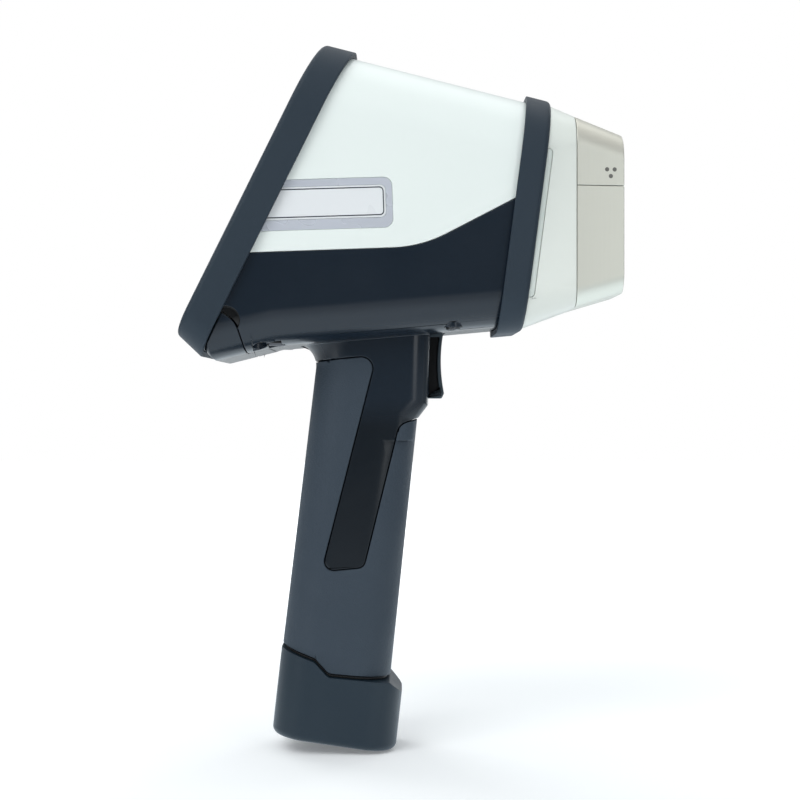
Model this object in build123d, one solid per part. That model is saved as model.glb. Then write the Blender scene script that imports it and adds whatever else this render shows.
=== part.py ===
from build123d import *
import os
from math import cos, radians, sin, sqrt, tan

# A handheld X-ray fluorescence analyzer: a hollow pistol-shaped housing with a display at the back,
# a measuring nose at the front, and a battery that slides up into the handle from below.
# Millimetres. X points to the nose, Z up; the origin is under the middle of the instrument.

# ---- Fits and walls ----
SHUT_LINE = 0.15  # seam between mouldings of one body
BODY_GAP = 0.35  # air between pieces that move apart
RUNNING = 0.05  # radial play of a pin in its bore
WALL = 2.4  # moulded housings
SHEET = 1.5  # metal nose

# ---- Housing ----
SCREEN_X = -60.2  # middle of the rear guard's back face
SCREEN_Z = 223.0
REAR_LEAN = 26.4  # degrees from upright
REAR_HALF_WIDTH = 40.0
SIDE_TAPER = 3.8  # degrees that each side closes towards the nose
TOP_POINT = (-19.1, 277.0)
TOP_SLOPE = -13.5
BELLY_POINT = (-50.0, 162.2)
BELLY_SLOPE = 5.0
CHIN_SLOPE = 14.0
HEEL_POINT = (-80.5, 163.2)
HEEL_SLOPE = -43.8
TOP_RADIUS = 24.0
BELLY_RADIUS = 15.0
HEEL_RADIUS = 9.0
SEAM_REAR_POINT = (-3.0, 200.2)
SEAM_REAR_SLOPE = 2.3
SEAM_FRONT_POINT = (17.4, 205.9)
SEAM_FRONT_SLOPE = 27.5
SEAM_RADIUS = 50.0

# ---- Guards ----
GUARD_PROUD = 2.6
REAR_GUARD = 12.5
REAR_LIP = 3.1
FRONT_GUARD = 10.2
FRONT_X = 47.9  # front face of the front guard, at FRONT_Z
FRONT_Z = 171.5
FRONT_LEAN = 7.4

# ---- Nose ----
CONE_LAP = 5.2
CONE_REAR_HALF = 32.6
CONE_REAR_LOW = 170.2
CONE_REAR_HIGH = 258.6
CONE_REAR_RADIUS = 21.0
NOSE_REAR_X = 68.5
NOSE_REAR_HALF = 27.3
NOSE_REAR_LOW = 177.8
NOSE_REAR_HIGH = 254.4
NOSE_REAR_RADIUS = 13.0
NOSE_FRONT_X = 87.55
NOSE_FRONT_HALF = 24.8
NOSE_FRONT_LOW = 183.4
NOSE_FRONT_HIGH = 246.8
NOSE_FRONT_RADIUS = 11.0
NOSE_LOW_RADIUS = 8.0
NOSE_SPLIT_Z = 225.6
WINDOW_Z = 214.0
WINDOW_RADIUS = 7.0
PLATE_THICK = 3.0
PLATE_RIM = 3.2
FILM_THICK = 0.4
FILM_SINK = 1.0
FILM_LAP = 2.0
LIGHT_LOW = 181.2
LIGHT_HIGH = 239.0
LIGHT_WIDTH = 2.1
LIGHT_DEPTH = 1.4
LIGHT_RADIUS = 1.6
VENTS = 6
VENT_X = 54.4
VENT_PITCH = 2.2
VENT_WIDTH = 1.1
VENT_HALF = 12.0
VENT_TOP_Z = 186.0

# ---- Handle ----
HANDLE_X = -27.5  # handle axis at HANDLE_Z
HANDLE_Z = 29.0
HANDLE_TILT = 6.4
HANDLE_DEPTH = 44.9
HANDLE_WIDTH = 38.8
HANDLE_RADIUS = 15.0
HANDLE_TAPER = 0.42
HANDLE_TOP = 124.0  # along its axis
SLEEVE = 2.2
CORE_WALL = 2.2
NECK_HALF = 18.6
NECK_OVERLAP = 30.0
NECK_FRONT_RADIUS = 8.0
NECK_FRONT_TOP_X = 12.4
NECK_FRONT_LOW = (10.3, 139.0)
NECK_STEP = (5.6, 132.8)
NECK_SWEEP = 9.0

# ---- Battery ----
BATTERY_TOP = 88.0  # along the handle axis
FOOT_DEPTH = 50.4
FOOT_WIDTH = 42.0
FOOT_RADIUS = 14.0
FOOT_FORWARD = 2.6
FOOT_TILT = -8.3
FOOT_LOW_POINT = (-18.0, 1.8)
FOOT_EDGE = 3.0
SEAL_GAP = 1.4
SEAL_INSET = 1.4
BROW_X = -5.2  # where the foot steps out in front
BROW_DROP = 6.2
PACK_SINK = 15.0
PACK_GAP = 0.4
CONTACTS_Y = (-7.5, -2.5, 2.5, 7.5)
CONTACT_X = 6.0
PAD_RADIUS = 1.6
PAD_THICK = 0.5
PROBE_RADIUS = 1.0
PROBE_GAP = 0.3
PROBE_LENGTH = 6.2
BLOCK_ABOVE = 2.0
BLOCK_THICK = 3.0
LATCH_ALONG = -12.0
LATCH_WIDTH = 12.0
LATCH_HEIGHT = 8.0
LATCH_RADIUS = 2.0
LATCH_LENGTH = 4.5
LATCH_ROOM = 8.0
LATCH_RIBS = (-2.0, 0.0, 2.0)
RIB_GROOVE = 0.8
RIB_DEPTH = 0.5
COIL_RADIUS = 2.4
COIL_WIRE = 0.7

# ---- Trigger ----
PIVOT = (5.0, 174.0)
PIN_RADIUS = 1.5
TRIGGER_HALF = 6.8
TRIGGER_LOW = 141.6
TRIGGER_TOE_X = 16.9  # lowest point of its front face
TRIGGER_WAIST_X = 15.6
TRIGGER_HEAD = (16.6, 168.2)
TRIGGER_REAR_LOW_X = 8.6
TRIGGER_REAR_HIGH = (7.0, 165.0)
TRIGGER_RECESS = 1.2
TRIGGER_RIM = 1.5
TRIGGER_EDGE = 1.0
EYE_RADIUS = 4.2  # round the pin
EAR_WIDTH = 4.5
EAR_REACH = 5.0
PIN_HALF = 10.6
SHELF_Z = 149.5
SHELF_THICK = 2.5
SWITCH_REAR = -8.8
SWITCH_FRONT = 3.0
SWITCH_HALF = 3.0
SWITCH_BUTTON = 1.2
BUTTON_HALF = 1.1
SPRING_REAR_X = -2.0
SPRING_BEND_X = 3.8
SPRING_TIP = (7.1, 152.0)
SPRING_THICK = 0.4
SPRING_HALF = 2.5

# ---- Chassis and boards ----
PLATE_TOP_Z = 209.0
CHASSIS_THICK = 3.0
CHASSIS_REAR = -38.0
CHASSIS_REAR_HALF = 33.0
CHASSIS_WAIST = (40.0, 28.0)
CHASSIS_FRONT_HALF = 23.0
CHASSIS_POSTS = ((-28.0, -22.0), (-28.0, 22.0), (20.0, -25.0), (20.0, 25.0))
BOSS_RADIUS = 3.5
SIGNAL_POSTS = ((-22.0, -13.0), (-22.0, 13.0), (38.0, -13.0), (38.0, 13.0))
SIGNAL_CANS = ((-14.0, -10.0, 18.0, 20.0), (12.0, -11.0, 22.0, 22.0))
SIGNAL_EDGE = 4.0  # board beyond its posts
CAN_HEIGHT = 4.4
POST_RADIUS = 2.0
POST_HEIGHT = 2.0
BOARD_THICK = 1.6

# ---- Measuring parts ----
HEAD_LENGTH = 18.55
HEAD_HALF = 17.0
HEAD_LOW = 190.0
HEAD_HIGH = 240.0
BORE_GAP = 0.1
TUBE_TILT = 20.0
TUBE_RADIUS = 10.0
TUBE_NEAR = 31.0
TUBE_FAR = 52.0
SNOUT_RADIUS = 4.5
SNOUT_NEAR = 17.5
BEAM_RADIUS = 3.0
DETECTOR_TILT = -35.0
DETECTOR_RADIUS = 6.0
DETECTOR_NEAR = 16.0
DETECTOR_FAR = 42.0
DETECTOR_STEM = 6.0
DETECTOR_LIP = 1.5
WHEEL_RADIUS = 13.0
WHEEL_THICK = 1.5
WHEEL_OFFSET = 9.5
WHEEL_NEAR = 14.0
WHEEL_ROOM = 0.5
FILTERS = 6
FILTER_RADIUS = 2.6
SHAFT_RADIUS = 1.0
SHAFT_LENGTH = 4.0
MOTOR_RADIUS = 3.5
MOTOR_LENGTH = 11.0
CAMERA_Y = 12.0
CAMERA_Z = 200.0
CAMERA_HALF = 3.4
CAMERA_LENGTH = 6.0
CAMERA_HOLE = 1.6
MODULE_REAR = -28.0
MODULE_FRONT = 35.0
MODULE_HALF = 21.0
MODULE_HEIGHT = 31.0
MODULE_RADIUS = 3.0

# ---- Handle trim, in the side view ----
SLEEVE_TOP = (-10.6, 158.6)
SLEEVE_TOP_SLOPE = 5.5
TONGUE_REAR_LOW = (-32.6, 72.3)
TONGUE_FRONT_LOW = (-15.2, 74.0)
TONGUE_FRONT_TOP = (-1.1, 131.1)
SLEEVE_FRONT_SLOPE = 16.8
HEM_REAR = (-35.0, 38.2)
HEM_FRONT = (-29.5, 32.1)
HEM_REAR_SLOPE = -19.0
HEM_FRONT_SLOPE = -5.5
HEM_RADIUS = 3.0
GROOVE = 0.45

# ---- Chin cover and the sockets behind it ----
COVER_TOP = (-71.4, 175.9)
COVER_KNEE = (-64.6, 171.0)
COVER_HEEL = (-61.4, 159.4)
COVER_KNEE_RADIUS = 9.0
COVER_TONGUE_X = -53.4
COVER_TONGUE_HALF = 16.5
NOTCH_POINT = (-68.4, 171.8)
NOTCH_RADIUS = 5.4
NOTCH_DEPTH = 1.4
BAY_TOP = (-71.0, 178.6)
BAY_LOW = (-50.5, 162.6)
BAY_WALL = 1.8
SOCKET_Y = (-13.0, 0.0, 13.0)
SOCKET_WIDTH = 9.2
SOCKET_HEIGHT = 3.6
SOCKET_WALL = 0.5
SOCKET_LENGTH = 7.0
SOCKET_SHARE = 0.45  # of the way down the bay's wall
STRAP_X = -50.1
STRAP_Y = 25.0
STRAP_Z = 163.6
STRAP_BAR_RADIUS = 1.25
STRAP_GAP = 3.55  # on each side of the bar
STRAP_LENGTH = 5.2
STRAP_DEEP_Z = 167.0
STRAP_WALL = 2.0

# ---- Label on the sides ----
LABEL_FRONT_X = -3.8
LABEL_Z = 217.7
LABEL_HEIGHT = 19.6
LABEL_TILT = 2.0
LABEL_DEPTH = 0.8
LABEL_PLATE_HEIGHT = 12.7
LABEL_PLATE_MARGIN = 2.6
LABEL_PLATE_UP = 0.6
LABEL_RADIUS = 3.5

# ---- Screws ----
SCREW_RADIUS = 1.5
SCREW_HEAD_RADIUS = 2.6
SCREW_HEAD_THICK = 2.0
SCREW_PLAY = 0.3
FRONT_SCREWS = ((20.0, -25.0), (20.0, 25.0))
FRONT_SEAT_Z = 170.8
FRONT_SCREW_LENGTH = 40.0
REAR_SCREWS = ((-55.8, -29.0), (-55.8, 29.0))
REAR_SEAT_Z = 165.6
REAR_SCREW_LENGTH = 3.6
REAR_PAD_TILT = 18.0
REAR_PAD_DEPTH = 0.35
PLATE_SCREWS = ((-16.0, 190.0), (16.0, 190.0), (-13.0, 237.0), (13.0, 237.0))
PLATE_SCREW_RADIUS = 1.0
PLATE_SCREW_HEAD = 1.9
PLATE_SCREW_SINK = 1.2
PLATE_SCREW_LENGTH = 6.4

# ---- Display ----
BEZEL_THICK = 3.0
LCD_THICK = 3.6
LCD_FRAME = 1.0
GASKET_THICK = 0.5
BOARD_HOLE_X = 32.0
BOARD_HOLE_Y = 34.0
BOARD_UP = 2.0
BOARD_EDGE = 3.0
BOARD_POST = 2.2
BOARD_CHIPS = ((-8.0, 10.0, 16.0, 16.0, 1.6), (12.0, 14.0, 12.0, 9.0, 1.2), (4.0, -18.0, 24.0, 18.0, 2.4))
GLASS_WIDTH = 66.0
GLASS_HEIGHT = 88.0
GLASS_RADIUS = 10.0
GLASS_THICK = 1.2
GLASS_UP = 10.0
LCD_MARGIN = 4.0
KEYS_UP = -47.0
KEY_TRAVEL = 0.6
KEY_PROUD = 1.0
POWER_RADIUS = 5.5
MENU_SPREAD = 19.0
MENU_WIDTH = 14.0
MENU_HEIGHT = 7.6
MENU_RADIUS = 3.4
KEY_FLANGE = 1.2
FLANGE_THICK = 0.8
KEY_EDGE = 0.4
DOME_RADIUS = 2.0
DOME_HEIGHT = 0.15
KEY_BOARD = (66.0, 13.0)
KEY_BOARD_THICK = 1.2
KEY_POST_X = 30.6
BOARD_DEPTH = 13.0

# Limits that lie outside every piece, for trimming shapes
FAR_REAR = -130.0
FAR_FRONT = 110.0
FAR_LOW = -60.0
FAR_HIGH = 340.0
FAR_SIDE = 70.0


# ---- Lines and planes of the side view ----
def sloping(point, slope, shift=0.0):
    """Height at x of a line through point, moved square to itself by shift."""
    return lambda x: point[1] + (x - point[0]) * tan(radians(slope)) + shift / cos(radians(slope))


def leaning(x, z, lean, depth):
    """x at a height of a line leaning from upright through (x, z), moved depth to the rear."""
    return lambda height: x + (height - z) * tan(radians(lean)) - depth / cos(radians(lean))


def back_line(depth):
    return leaning(SCREEN_X, SCREEN_Z, REAR_LEAN, -depth)


def front_line(depth):
    return leaning(FRONT_X, FRONT_Z, FRONT_LEAN, depth)


SCREEN_MIDDLE = (SCREEN_X, 0, SCREEN_Z)
UP_BACK = Vector(sin(radians(REAR_LEAN)), 0, cos(radians(REAR_LEAN)))
OUT_BACK = Vector(-cos(radians(REAR_LEAN)), 0, sin(radians(REAR_LEAN)))


def back_plane(depth, up=0.0):
    """Plane facing out of the display, with its y up the screen."""
    middle = Vector(SCREEN_X, 0, SCREEN_Z) - OUT_BACK * depth + UP_BACK * up
    return Plane(origin=middle, x_dir=(0, -1, 0), z_dir=OUT_BACK)


def handle_plane(along):
    """Plane across the handle axis, with its x to the front."""
    tilt = radians(HANDLE_TILT)
    axis = Vector(sin(tilt), 0, cos(tilt))
    origin = Vector(HANDLE_X, 0, HANDLE_Z) + axis * along
    return Plane(origin=origin, x_dir=(cos(tilt), 0, -sin(tilt)), z_dir=axis)


def aim_plane(tilt, distance):
    """Plane square to a line that runs into the window, at a distance back from it."""
    axis = Vector(cos(radians(tilt)), 0, -sin(radians(tilt)))
    origin = Vector(NOSE_FRONT_X, 0, WINDOW_Z) - axis * distance
    return Plane(origin=origin, x_dir=(0, 1, 0), z_dir=axis)


# ---- Shapes shared by the pieces ----
def slab(points, half_width):
    """Side profile swept to both sides of the centre plane."""
    return extrude(Plane.XZ * make_face(Polyline(*points, close=True)), half_width, both=True)


def leaning_slab(rear_line, front_line_at, half_width=FAR_SIDE):
    low, high = FAR_LOW, FAR_HIGH
    rear = [(rear_line(high), high), (rear_line(low), low)]
    return slab(rear + [(front_line_at(low), low), (front_line_at(high), high)], half_width)


def banded(low_line, high_line, half_width=FAR_SIDE):
    rear = [(FAR_REAR, high_line(FAR_REAR)), (FAR_REAR, low_line(FAR_REAR))]
    front = [(FAR_FRONT, low_line(FAR_FRONT)), (FAR_FRONT, high_line(FAR_FRONT))]
    return slab(rear + front, half_width)


def block(x, y, z):
    """Box between two limits in each direction."""
    size = [high - low for low, high in (x, y, z)]
    middle = [(high + low) / 2 for low, high in (x, y, z)]
    return Pos(*middle) * Box(*size)


def side_half(depth, inset):
    return REAR_HALF_WIDTH - depth * tan(radians(SIDE_TAPER)) - inset


def tapered_sides(inset):
    """Wedge between the two sides, square to the display and closing towards the nose."""
    near, far = -30.0, 150.0
    up_plane = Plane(origin=(SCREEN_X, 0, SCREEN_Z), x_dir=(0, 1, 0), z_dir=UP_BACK)
    corners = [(side_half(near, inset), -near), (-side_half(near, inset), -near)]
    corners += [(-side_half(far, inset), -far), (side_half(far, inset), -far)]
    return extrude(up_plane * make_face(Polyline(*corners, close=True)), 220.0, both=True)


def long_edges(shape):
    """Edges that run from rear to front along the outer sides, lowest first."""
    found = [e for e in shape.edges() if abs((e @ 1 - e @ 0).normalized().X) > 0.65]
    return sorted(found, key=lambda e: e.center().Z)


def rounded_bar(low_line, high_line, sides, inset):
    bar = banded(low_line, high_line) & sides
    bar = fillet(long_edges(bar)[2:], TOP_RADIUS - inset)
    return fillet(long_edges(bar)[:2], BELLY_RADIUS - inset)


def housing_form(inset):
    """Outer shape of the housing, moved in by inset, running past both ends."""
    sides = tapered_sides(inset)
    top = sloping(TOP_POINT, TOP_SLOPE, -inset)
    heel = sloping(HEEL_POINT, HEEL_SLOPE, inset)
    main = rounded_bar(sloping(BELLY_POINT, BELLY_SLOPE, inset), top, sides, inset)
    chin = rounded_bar(sloping(BELLY_POINT, CHIN_SLOPE, inset), top, sides, inset)
    chin = chin & leaning_slab(lambda z: FAR_REAR, lambda z: BELLY_POINT[0])
    back = banded(heel, lambda x: FAR_HIGH) & sides
    back = fillet(long_edges(back)[:2], HEEL_RADIUS - inset)
    return (main + chin) & back


def section(plane, half, low, high, top_radius, low_radius):
    """Rounded four-sided section on a plane whose x is across and y is up."""
    corners = [(-half, low), (half, low), (half, high), (-half, high)]
    face = make_face(Polyline(*corners, close=True))
    face = fillet(face.vertices().group_by(Axis.Y)[-1], top_radius)
    face = fillet(face.vertices().group_by(Axis.Y)[0], low_radius)
    return plane * face


def cone_section(depth, inset):
    """Section of the cone on a plane parallel to the front guard."""
    lean = radians(FRONT_LEAN)
    x_at = front_line(depth)
    plane = Plane(origin=(x_at(0), 0, 0), x_dir=(0, -1, 0), z_dir=(-cos(lean), 0, sin(lean)))
    low = (CONE_REAR_LOW + inset) / cos(lean)
    high = (CONE_REAR_HIGH - inset) / cos(lean)
    radius = CONE_REAR_RADIUS - inset
    return section(plane, CONE_REAR_HALF - inset, low, high, radius, BELLY_RADIUS - inset)


def nose_section(x, inset):
    share = (x - NOSE_REAR_X) / (NOSE_FRONT_X - NOSE_REAR_X)

    def between(rear, front):
        return rear + (front - rear) * share

    plane = Plane(origin=(x, 0, 0), x_dir=(0, -1, 0), z_dir=(-1, 0, 0))
    low = between(NOSE_REAR_LOW, NOSE_FRONT_LOW) + inset
    high = between(NOSE_REAR_HIGH, NOSE_FRONT_HIGH) - inset
    radius = between(NOSE_REAR_RADIUS, NOSE_FRONT_RADIUS) - inset
    half = between(NOSE_REAR_HALF, NOSE_FRONT_HALF) - inset
    return section(plane, half, low, high, radius, NOSE_LOW_RADIUS - inset)


def cone_form(inset, lap=0.0):
    """Cone from under the front guard to the nose, moved in by inset, its ends run on by lap."""
    rear = cone_section(CONE_LAP + lap, inset)
    middle = cone_section(-0.4, inset)
    return loft([rear, middle, nose_section(NOSE_REAR_X + lap, inset)], ruled=True)


def nose_form(inset, rear_x, front_x):
    return loft([nose_section(rear_x, inset), nose_section(front_x, inset)], ruled=True)


def handle_section(along, inset):
    shrink = 2 * along * tan(radians(HANDLE_TAPER)) + 2 * inset
    across = HANDLE_WIDTH - shrink
    return handle_plane(along) * RectangleRounded(HANDLE_DEPTH - shrink, across, HANDLE_RADIUS - inset)


def handle_form(inset, low, high):
    return loft([handle_section(low, inset), handle_section(high, inset)], ruled=True)


def handle_edge(along, side, inset):
    """Point in the side view on the rear (side -1) or front (+1) line of the handle."""
    reach = HANDLE_DEPTH / 2 - along * tan(radians(HANDLE_TAPER)) - inset
    point = handle_plane(along).from_local_coords(Vector(side * reach, 0, 0))
    return (point.X, point.Z)


def neck_form(inset, reach=WALL / 2):
    """Neck from the handle up into the housing, with a sweep into the belly behind it."""
    belly = sloping(BELLY_POINT, BELLY_SLOPE, WALL / 2)
    ceiling = sloping(BELLY_POINT, BELLY_SLOPE, reach)
    rear_low = handle_edge(HANDLE_TOP - NECK_OVERLAP, -1, inset)
    rear_high = handle_edge(HANDLE_TOP, -1, inset)
    rear_lean = (rear_high[0] - rear_low[0]) / (rear_high[1] - rear_low[1])
    corner_x = rear_low[0] + rear_lean * (belly(rear_low[0]) - rear_low[1])
    above = belly(0) + 2 * HANDLE_RADIUS
    points = [
        rear_low,
        (corner_x, belly(corner_x)),
        (corner_x - 2 * NECK_SWEEP, belly(corner_x - 2 * NECK_SWEEP)),
        (corner_x - 2 * NECK_SWEEP, above),
        (NECK_FRONT_TOP_X - inset, above),
        (NECK_FRONT_LOW[0] - inset, NECK_FRONT_LOW[1]),
        (NECK_STEP[0] - inset, NECK_STEP[1]),
        (handle_edge(HANDLE_TOP - NECK_OVERLAP, 1, inset)[0], rear_low[1]),
    ]
    face = make_face(Polyline(*points, close=True))
    face = fillet(nearest_corner(face, (corner_x, belly(corner_x))), NECK_SWEEP + inset)
    neck = extrude(Plane.XZ * face, NECK_HALF - inset, both=True)
    limit = belly(corner_x) - NECK_SWEEP
    rear_edges = [e for e in side_edges(neck) if e.center().X < corner_x + 3 and e.center().Z < limit]
    neck = fillet(rear_edges, HANDLE_RADIUS - inset)
    front_edges = [e for e in side_edges(neck) if e.center().X > NECK_STEP[0] - 3 - inset]
    neck = fillet(front_edges, NECK_FRONT_RADIUS - inset)
    return neck & banded(lambda x: FAR_LOW, ceiling)


def side_edges(shape):
    """Edges that lie in either side face."""
    reach = shape.bounding_box().max.Y
    return [e for e in shape.edges() if abs(abs(e.center().Y) - reach) < 0.01]


# ---- Housing ----
def seam_prism(shift):
    """Everything above the seam between the two housings, in the side view."""
    rear = sloping(SEAM_REAR_POINT, SEAM_REAR_SLOPE, shift)
    front = sloping(SEAM_FRONT_POINT, SEAM_FRONT_SLOPE, shift)
    rise = tan(radians(SEAM_FRONT_SLOPE)) - tan(radians(SEAM_REAR_SLOPE))
    corner_x = (rear(0) - front(0)) / rise
    corner = (corner_x, rear(corner_x))
    points = [(FAR_REAR, rear(FAR_REAR)), corner, (FAR_FRONT, front(FAR_FRONT))]
    points += [(FAR_FRONT, FAR_HIGH), (FAR_REAR, FAR_HIGH)]
    face = make_face(Polyline(*points, close=True))
    face = fillet(nearest_corner(face, corner), SEAM_RADIUS)
    return extrude(Plane.XZ * face, FAR_SIDE, both=True)


def nearest_corner(face, point):
    return face.vertices().sort_by_distance(Vector(*point, 0))[0]


def rounded_profile(points, radii):
    """Closed profile with a radius at each corner, none where it is zero."""
    face = make_face(Polyline(*points, close=True))
    for point, radius in zip(points, radii):
        if radius:
            face = fillet(nearest_corner(face, point), radius)
    return face


def through(face, half_width=FAR_SIDE):
    return extrude(Plane.XZ * face, half_width, both=True)


def hem(shift):
    """Wavy line between the grip and the battery foot, moved down by shift."""
    rear = sloping(HEM_REAR, HEM_REAR_SLOPE)
    front = sloping(HEM_FRONT, HEM_FRONT_SLOPE)
    points = [(FAR_REAR, rear(FAR_REAR)), HEM_REAR, HEM_FRONT, (FAR_FRONT, front(FAR_FRONT))]
    return [(x, z - shift) for x, z in points]


def above_hem(shift):
    line = hem(shift)
    points = line + [(FAR_FRONT, FAR_HIGH), (FAR_REAR, FAR_HIGH)]
    return through(rounded_profile(points, [0, HEM_RADIUS, HEM_RADIUS, 0, 0, 0]))


def sleeve_face():
    """Side view of what the rubber sleeve covers."""
    top = sloping(SLEEVE_TOP, SLEEVE_TOP_SLOPE)
    front = sloping(TONGUE_FRONT_TOP, SLEEVE_FRONT_SLOPE)
    points = [
        (-70.0, top(-70.0)),
        SLEEVE_TOP,
        TONGUE_REAR_LOW,
        TONGUE_FRONT_LOW,
        TONGUE_FRONT_TOP,
        (30.0, front(30.0)),
        (30.0, 0.0),
        (-70.0, 0.0),
    ]
    return rounded_profile(points, [0, 4.5, 4.0, 3.5, 5.2, 0, 0, 0])


def grip_skin(inset, reach=WALL / 2):
    """Handle and neck together, moved in by inset."""
    return handle_form(inset, -8.0, HANDLE_TOP) + neck_form(inset, reach)


def cover_form(grow):
    """Where the chin cover lies: the chin and a tongue under the belly, grown by the air round it."""
    points = [COVER_TOP, COVER_KNEE, COVER_HEEL]
    points += [(COVER_HEEL[0], FAR_LOW), (FAR_REAR, FAR_LOW), (FAR_REAR, COVER_TOP[1])]
    face = rounded_profile(points, [0, COVER_KNEE_RADIUS, 0, 0, 0, 0])
    if grow:
        face = offset(face, grow)
    half = COVER_TONGUE_HALF + grow
    tongue = block((FAR_REAR, COVER_TONGUE_X + grow), (-half, half), (FAR_LOW, BAY_LOW[1] + WALL))
    return through(face) + tongue


def housing_shell():
    hollow = housing_form(0) - housing_form(WALL)
    return hollow & leaning_slab(back_line(REAR_LIP), front_line(CONE_LAP + SHUT_LINE))


def label_plane(side, lift):
    """Plane on one side face, tilted like the label, with its x along the label."""
    half = side_half(0, 0)
    tilt = radians(LABEL_TILT)
    slope = tan(radians(SIDE_TAPER))
    normal = Vector(0, side, 0) - OUT_BACK * slope
    depth = -(Vector(LABEL_FRONT_X - SCREEN_X, 0, LABEL_Z - SCREEN_Z).dot(OUT_BACK))
    origin = Vector(LABEL_FRONT_X, side * (half - depth * slope), LABEL_Z)
    return Plane(origin=origin + normal.normalized() * lift, x_dir=(cos(tilt), 0, sin(tilt)), z_dir=normal)


def label_prism(side, margin, height, low, high, up=0.0):
    """Rounded strip running back from the front end of the label."""
    plane = label_plane(side, low)
    length = LABEL_FRONT_X - FAR_REAR
    strip = RectangleRounded(length, height, LABEL_RADIUS - margin / 2)
    strip = Pos(-length / 2 - margin, up) * strip
    return extrude(plane * strip, high - low) & leaning_slab(back_line(REAR_GUARD - 1.0), lambda z: FAR_FRONT)


def make_upper_housing(shell):
    upper = shell & seam_prism(0)
    for side in (-1, 1):
        upper = upper - label_prism(side, 0, LABEL_HEIGHT, -LABEL_DEPTH, WALL)
    return upper


def posts():
    """Bosses that carry the chassis plate, standing on the belly."""
    floor = sloping(BELLY_POINT, BELLY_SLOPE, WALL / 2)
    result = Part()
    for x, y in CHASSIS_POSTS:
        result += upright_rod(x, y, BOSS_RADIUS, floor(x), PLATE_TOP_Z - CHASSIS_THICK)
    return result


def upright_rod(x, y, radius, low, high):
    return Pos(x, y, (low + high) / 2) * Cylinder(radius, high - low)


def switch_shelf():
    """Shelf across the neck that carries the trigger switch."""
    return block((SWITCH_REAR, SWITCH_FRONT), (-NECK_HALF, NECK_HALF), (SHELF_Z - SHELF_THICK, SHELF_Z))


def trigger_ears():
    """Two ears on the belly that hold the ends of the trigger pin."""
    ears = Part()
    inner = TRIGGER_HALF + BODY_GAP
    floor = sloping(BELLY_POINT, BELLY_SLOPE, WALL / 2)
    for side in (-1, 1):
        limits = sorted((side * inner, side * (inner + EAR_WIDTH)))
        heights = (floor(PIVOT[0] - EAR_REACH), PIVOT[1] + EYE_RADIUS)
        ears += block((PIVOT[0] - EAR_REACH, PIVOT[0] + EAR_REACH), limits, heights)
    return ears


def rear_screw_boss(x, y):
    """Solid block beside the chin cover's tongue that a rear screw goes up into."""
    side = 1 if y > 0 else -1
    inner = COVER_TONGUE_HALF + BODY_GAP + SHUT_LINE
    limits = sorted((side * inner, side * FAR_SIDE))
    rear = x - SCREW_HEAD_RADIUS - 2 * SCREW_PLAY
    return block((rear, STRAP_X), limits, (0, REAR_SEAT_Z + REAR_SCREW_LENGTH + 1.0))


def strap_blocks():
    """Blocks over the strap pockets, run on to the rear as screw bosses."""
    blocks = Part()
    reach = STRAP_BAR_RADIUS + STRAP_GAP + STRAP_WALL
    for x, y in REAR_SCREWS:
        side = 1 if y > 0 else -1
        limits = sorted((side * (STRAP_Y - reach), side * (STRAP_Y + reach)))
        ends = (STRAP_X - STRAP_LENGTH / 2 - STRAP_WALL, STRAP_X + STRAP_LENGTH / 2 + STRAP_WALL)
        blocks += block(ends, limits, (0, STRAP_DEEP_Z + STRAP_WALL))
        blocks += rear_screw_boss(x, y)
    return blocks & housing_form(WALL / 2)


def strap_pockets():
    pockets = Part()
    reach = STRAP_BAR_RADIUS + STRAP_GAP
    for side in (-1, 1):
        limits = sorted((side * (STRAP_Y - reach), side * (STRAP_Y + reach)))
        ends = (STRAP_X - STRAP_LENGTH / 2, STRAP_X + STRAP_LENGTH / 2)
        pockets += block(ends, limits, (0, STRAP_DEEP_Z))
        bore = Cylinder(STRAP_BAR_RADIUS, strap_bar_length() + 2 * SHUT_LINE)
        pockets += Pos(STRAP_X, side * STRAP_Y, STRAP_Z) * Rot(0, 90, 0) * bore
    return pockets


def strap_bar_length():
    return STRAP_LENGTH + STRAP_WALL


def screw_seats():
    """Counterbores and shanks of the housing screws, and the flat pads round the rear ones."""
    cuts = Part()
    wide = SCREW_HEAD_RADIUS + SCREW_PLAY
    for places, seat, length in screw_rows():
        for x, y in places:
            cuts += upright_rod(x, y, SCREW_RADIUS + RUNNING, seat - RUNNING, seat + length + RUNNING)
            cuts += upright_rod(x, y, wide, FAR_LOW, seat)
    for x, y in REAR_SCREWS:
        side = 1 if y > 0 else -1
        arc_y = abs(y) - (side_half(x - SCREEN_X, 0) - BELLY_RADIUS)
        rise = BELLY_RADIUS - sqrt(BELLY_RADIUS ** 2 - arc_y ** 2)
        surface = sloping(BELLY_POINT, CHIN_SLOPE)(x) + rise
        pad = block((-wide, wide), (-wide, wide), (-BELLY_RADIUS, REAR_PAD_DEPTH))
        cuts += Pos(x, y, surface) * Rot(side * REAR_PAD_TILT, 0, 0) * pad
    return cuts


def screw_rows():
    front = (FRONT_SCREWS, FRONT_SEAT_Z, FRONT_SCREW_LENGTH)
    rear = (REAR_SCREWS, REAR_SEAT_Z, REAR_SCREW_LENGTH)
    return (front, rear)


def bay_panel():
    """Sloping wall behind the chin cover that carries the sockets."""
    run = Vector(BAY_LOW[0] - BAY_TOP[0], 0, BAY_LOW[1] - BAY_TOP[1]).normalized()
    behind = Vector(-run.Z, 0, run.X) * BAY_WALL
    corners = [BAY_TOP, BAY_LOW, (BAY_LOW[0] + behind.X, BAY_LOW[1] + behind.Z)]
    corners += [(BAY_TOP[0] + behind.X, BAY_TOP[1] + behind.Z)]
    return slab(corners, FAR_SIDE) & housing_form(WALL / 2)


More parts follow.
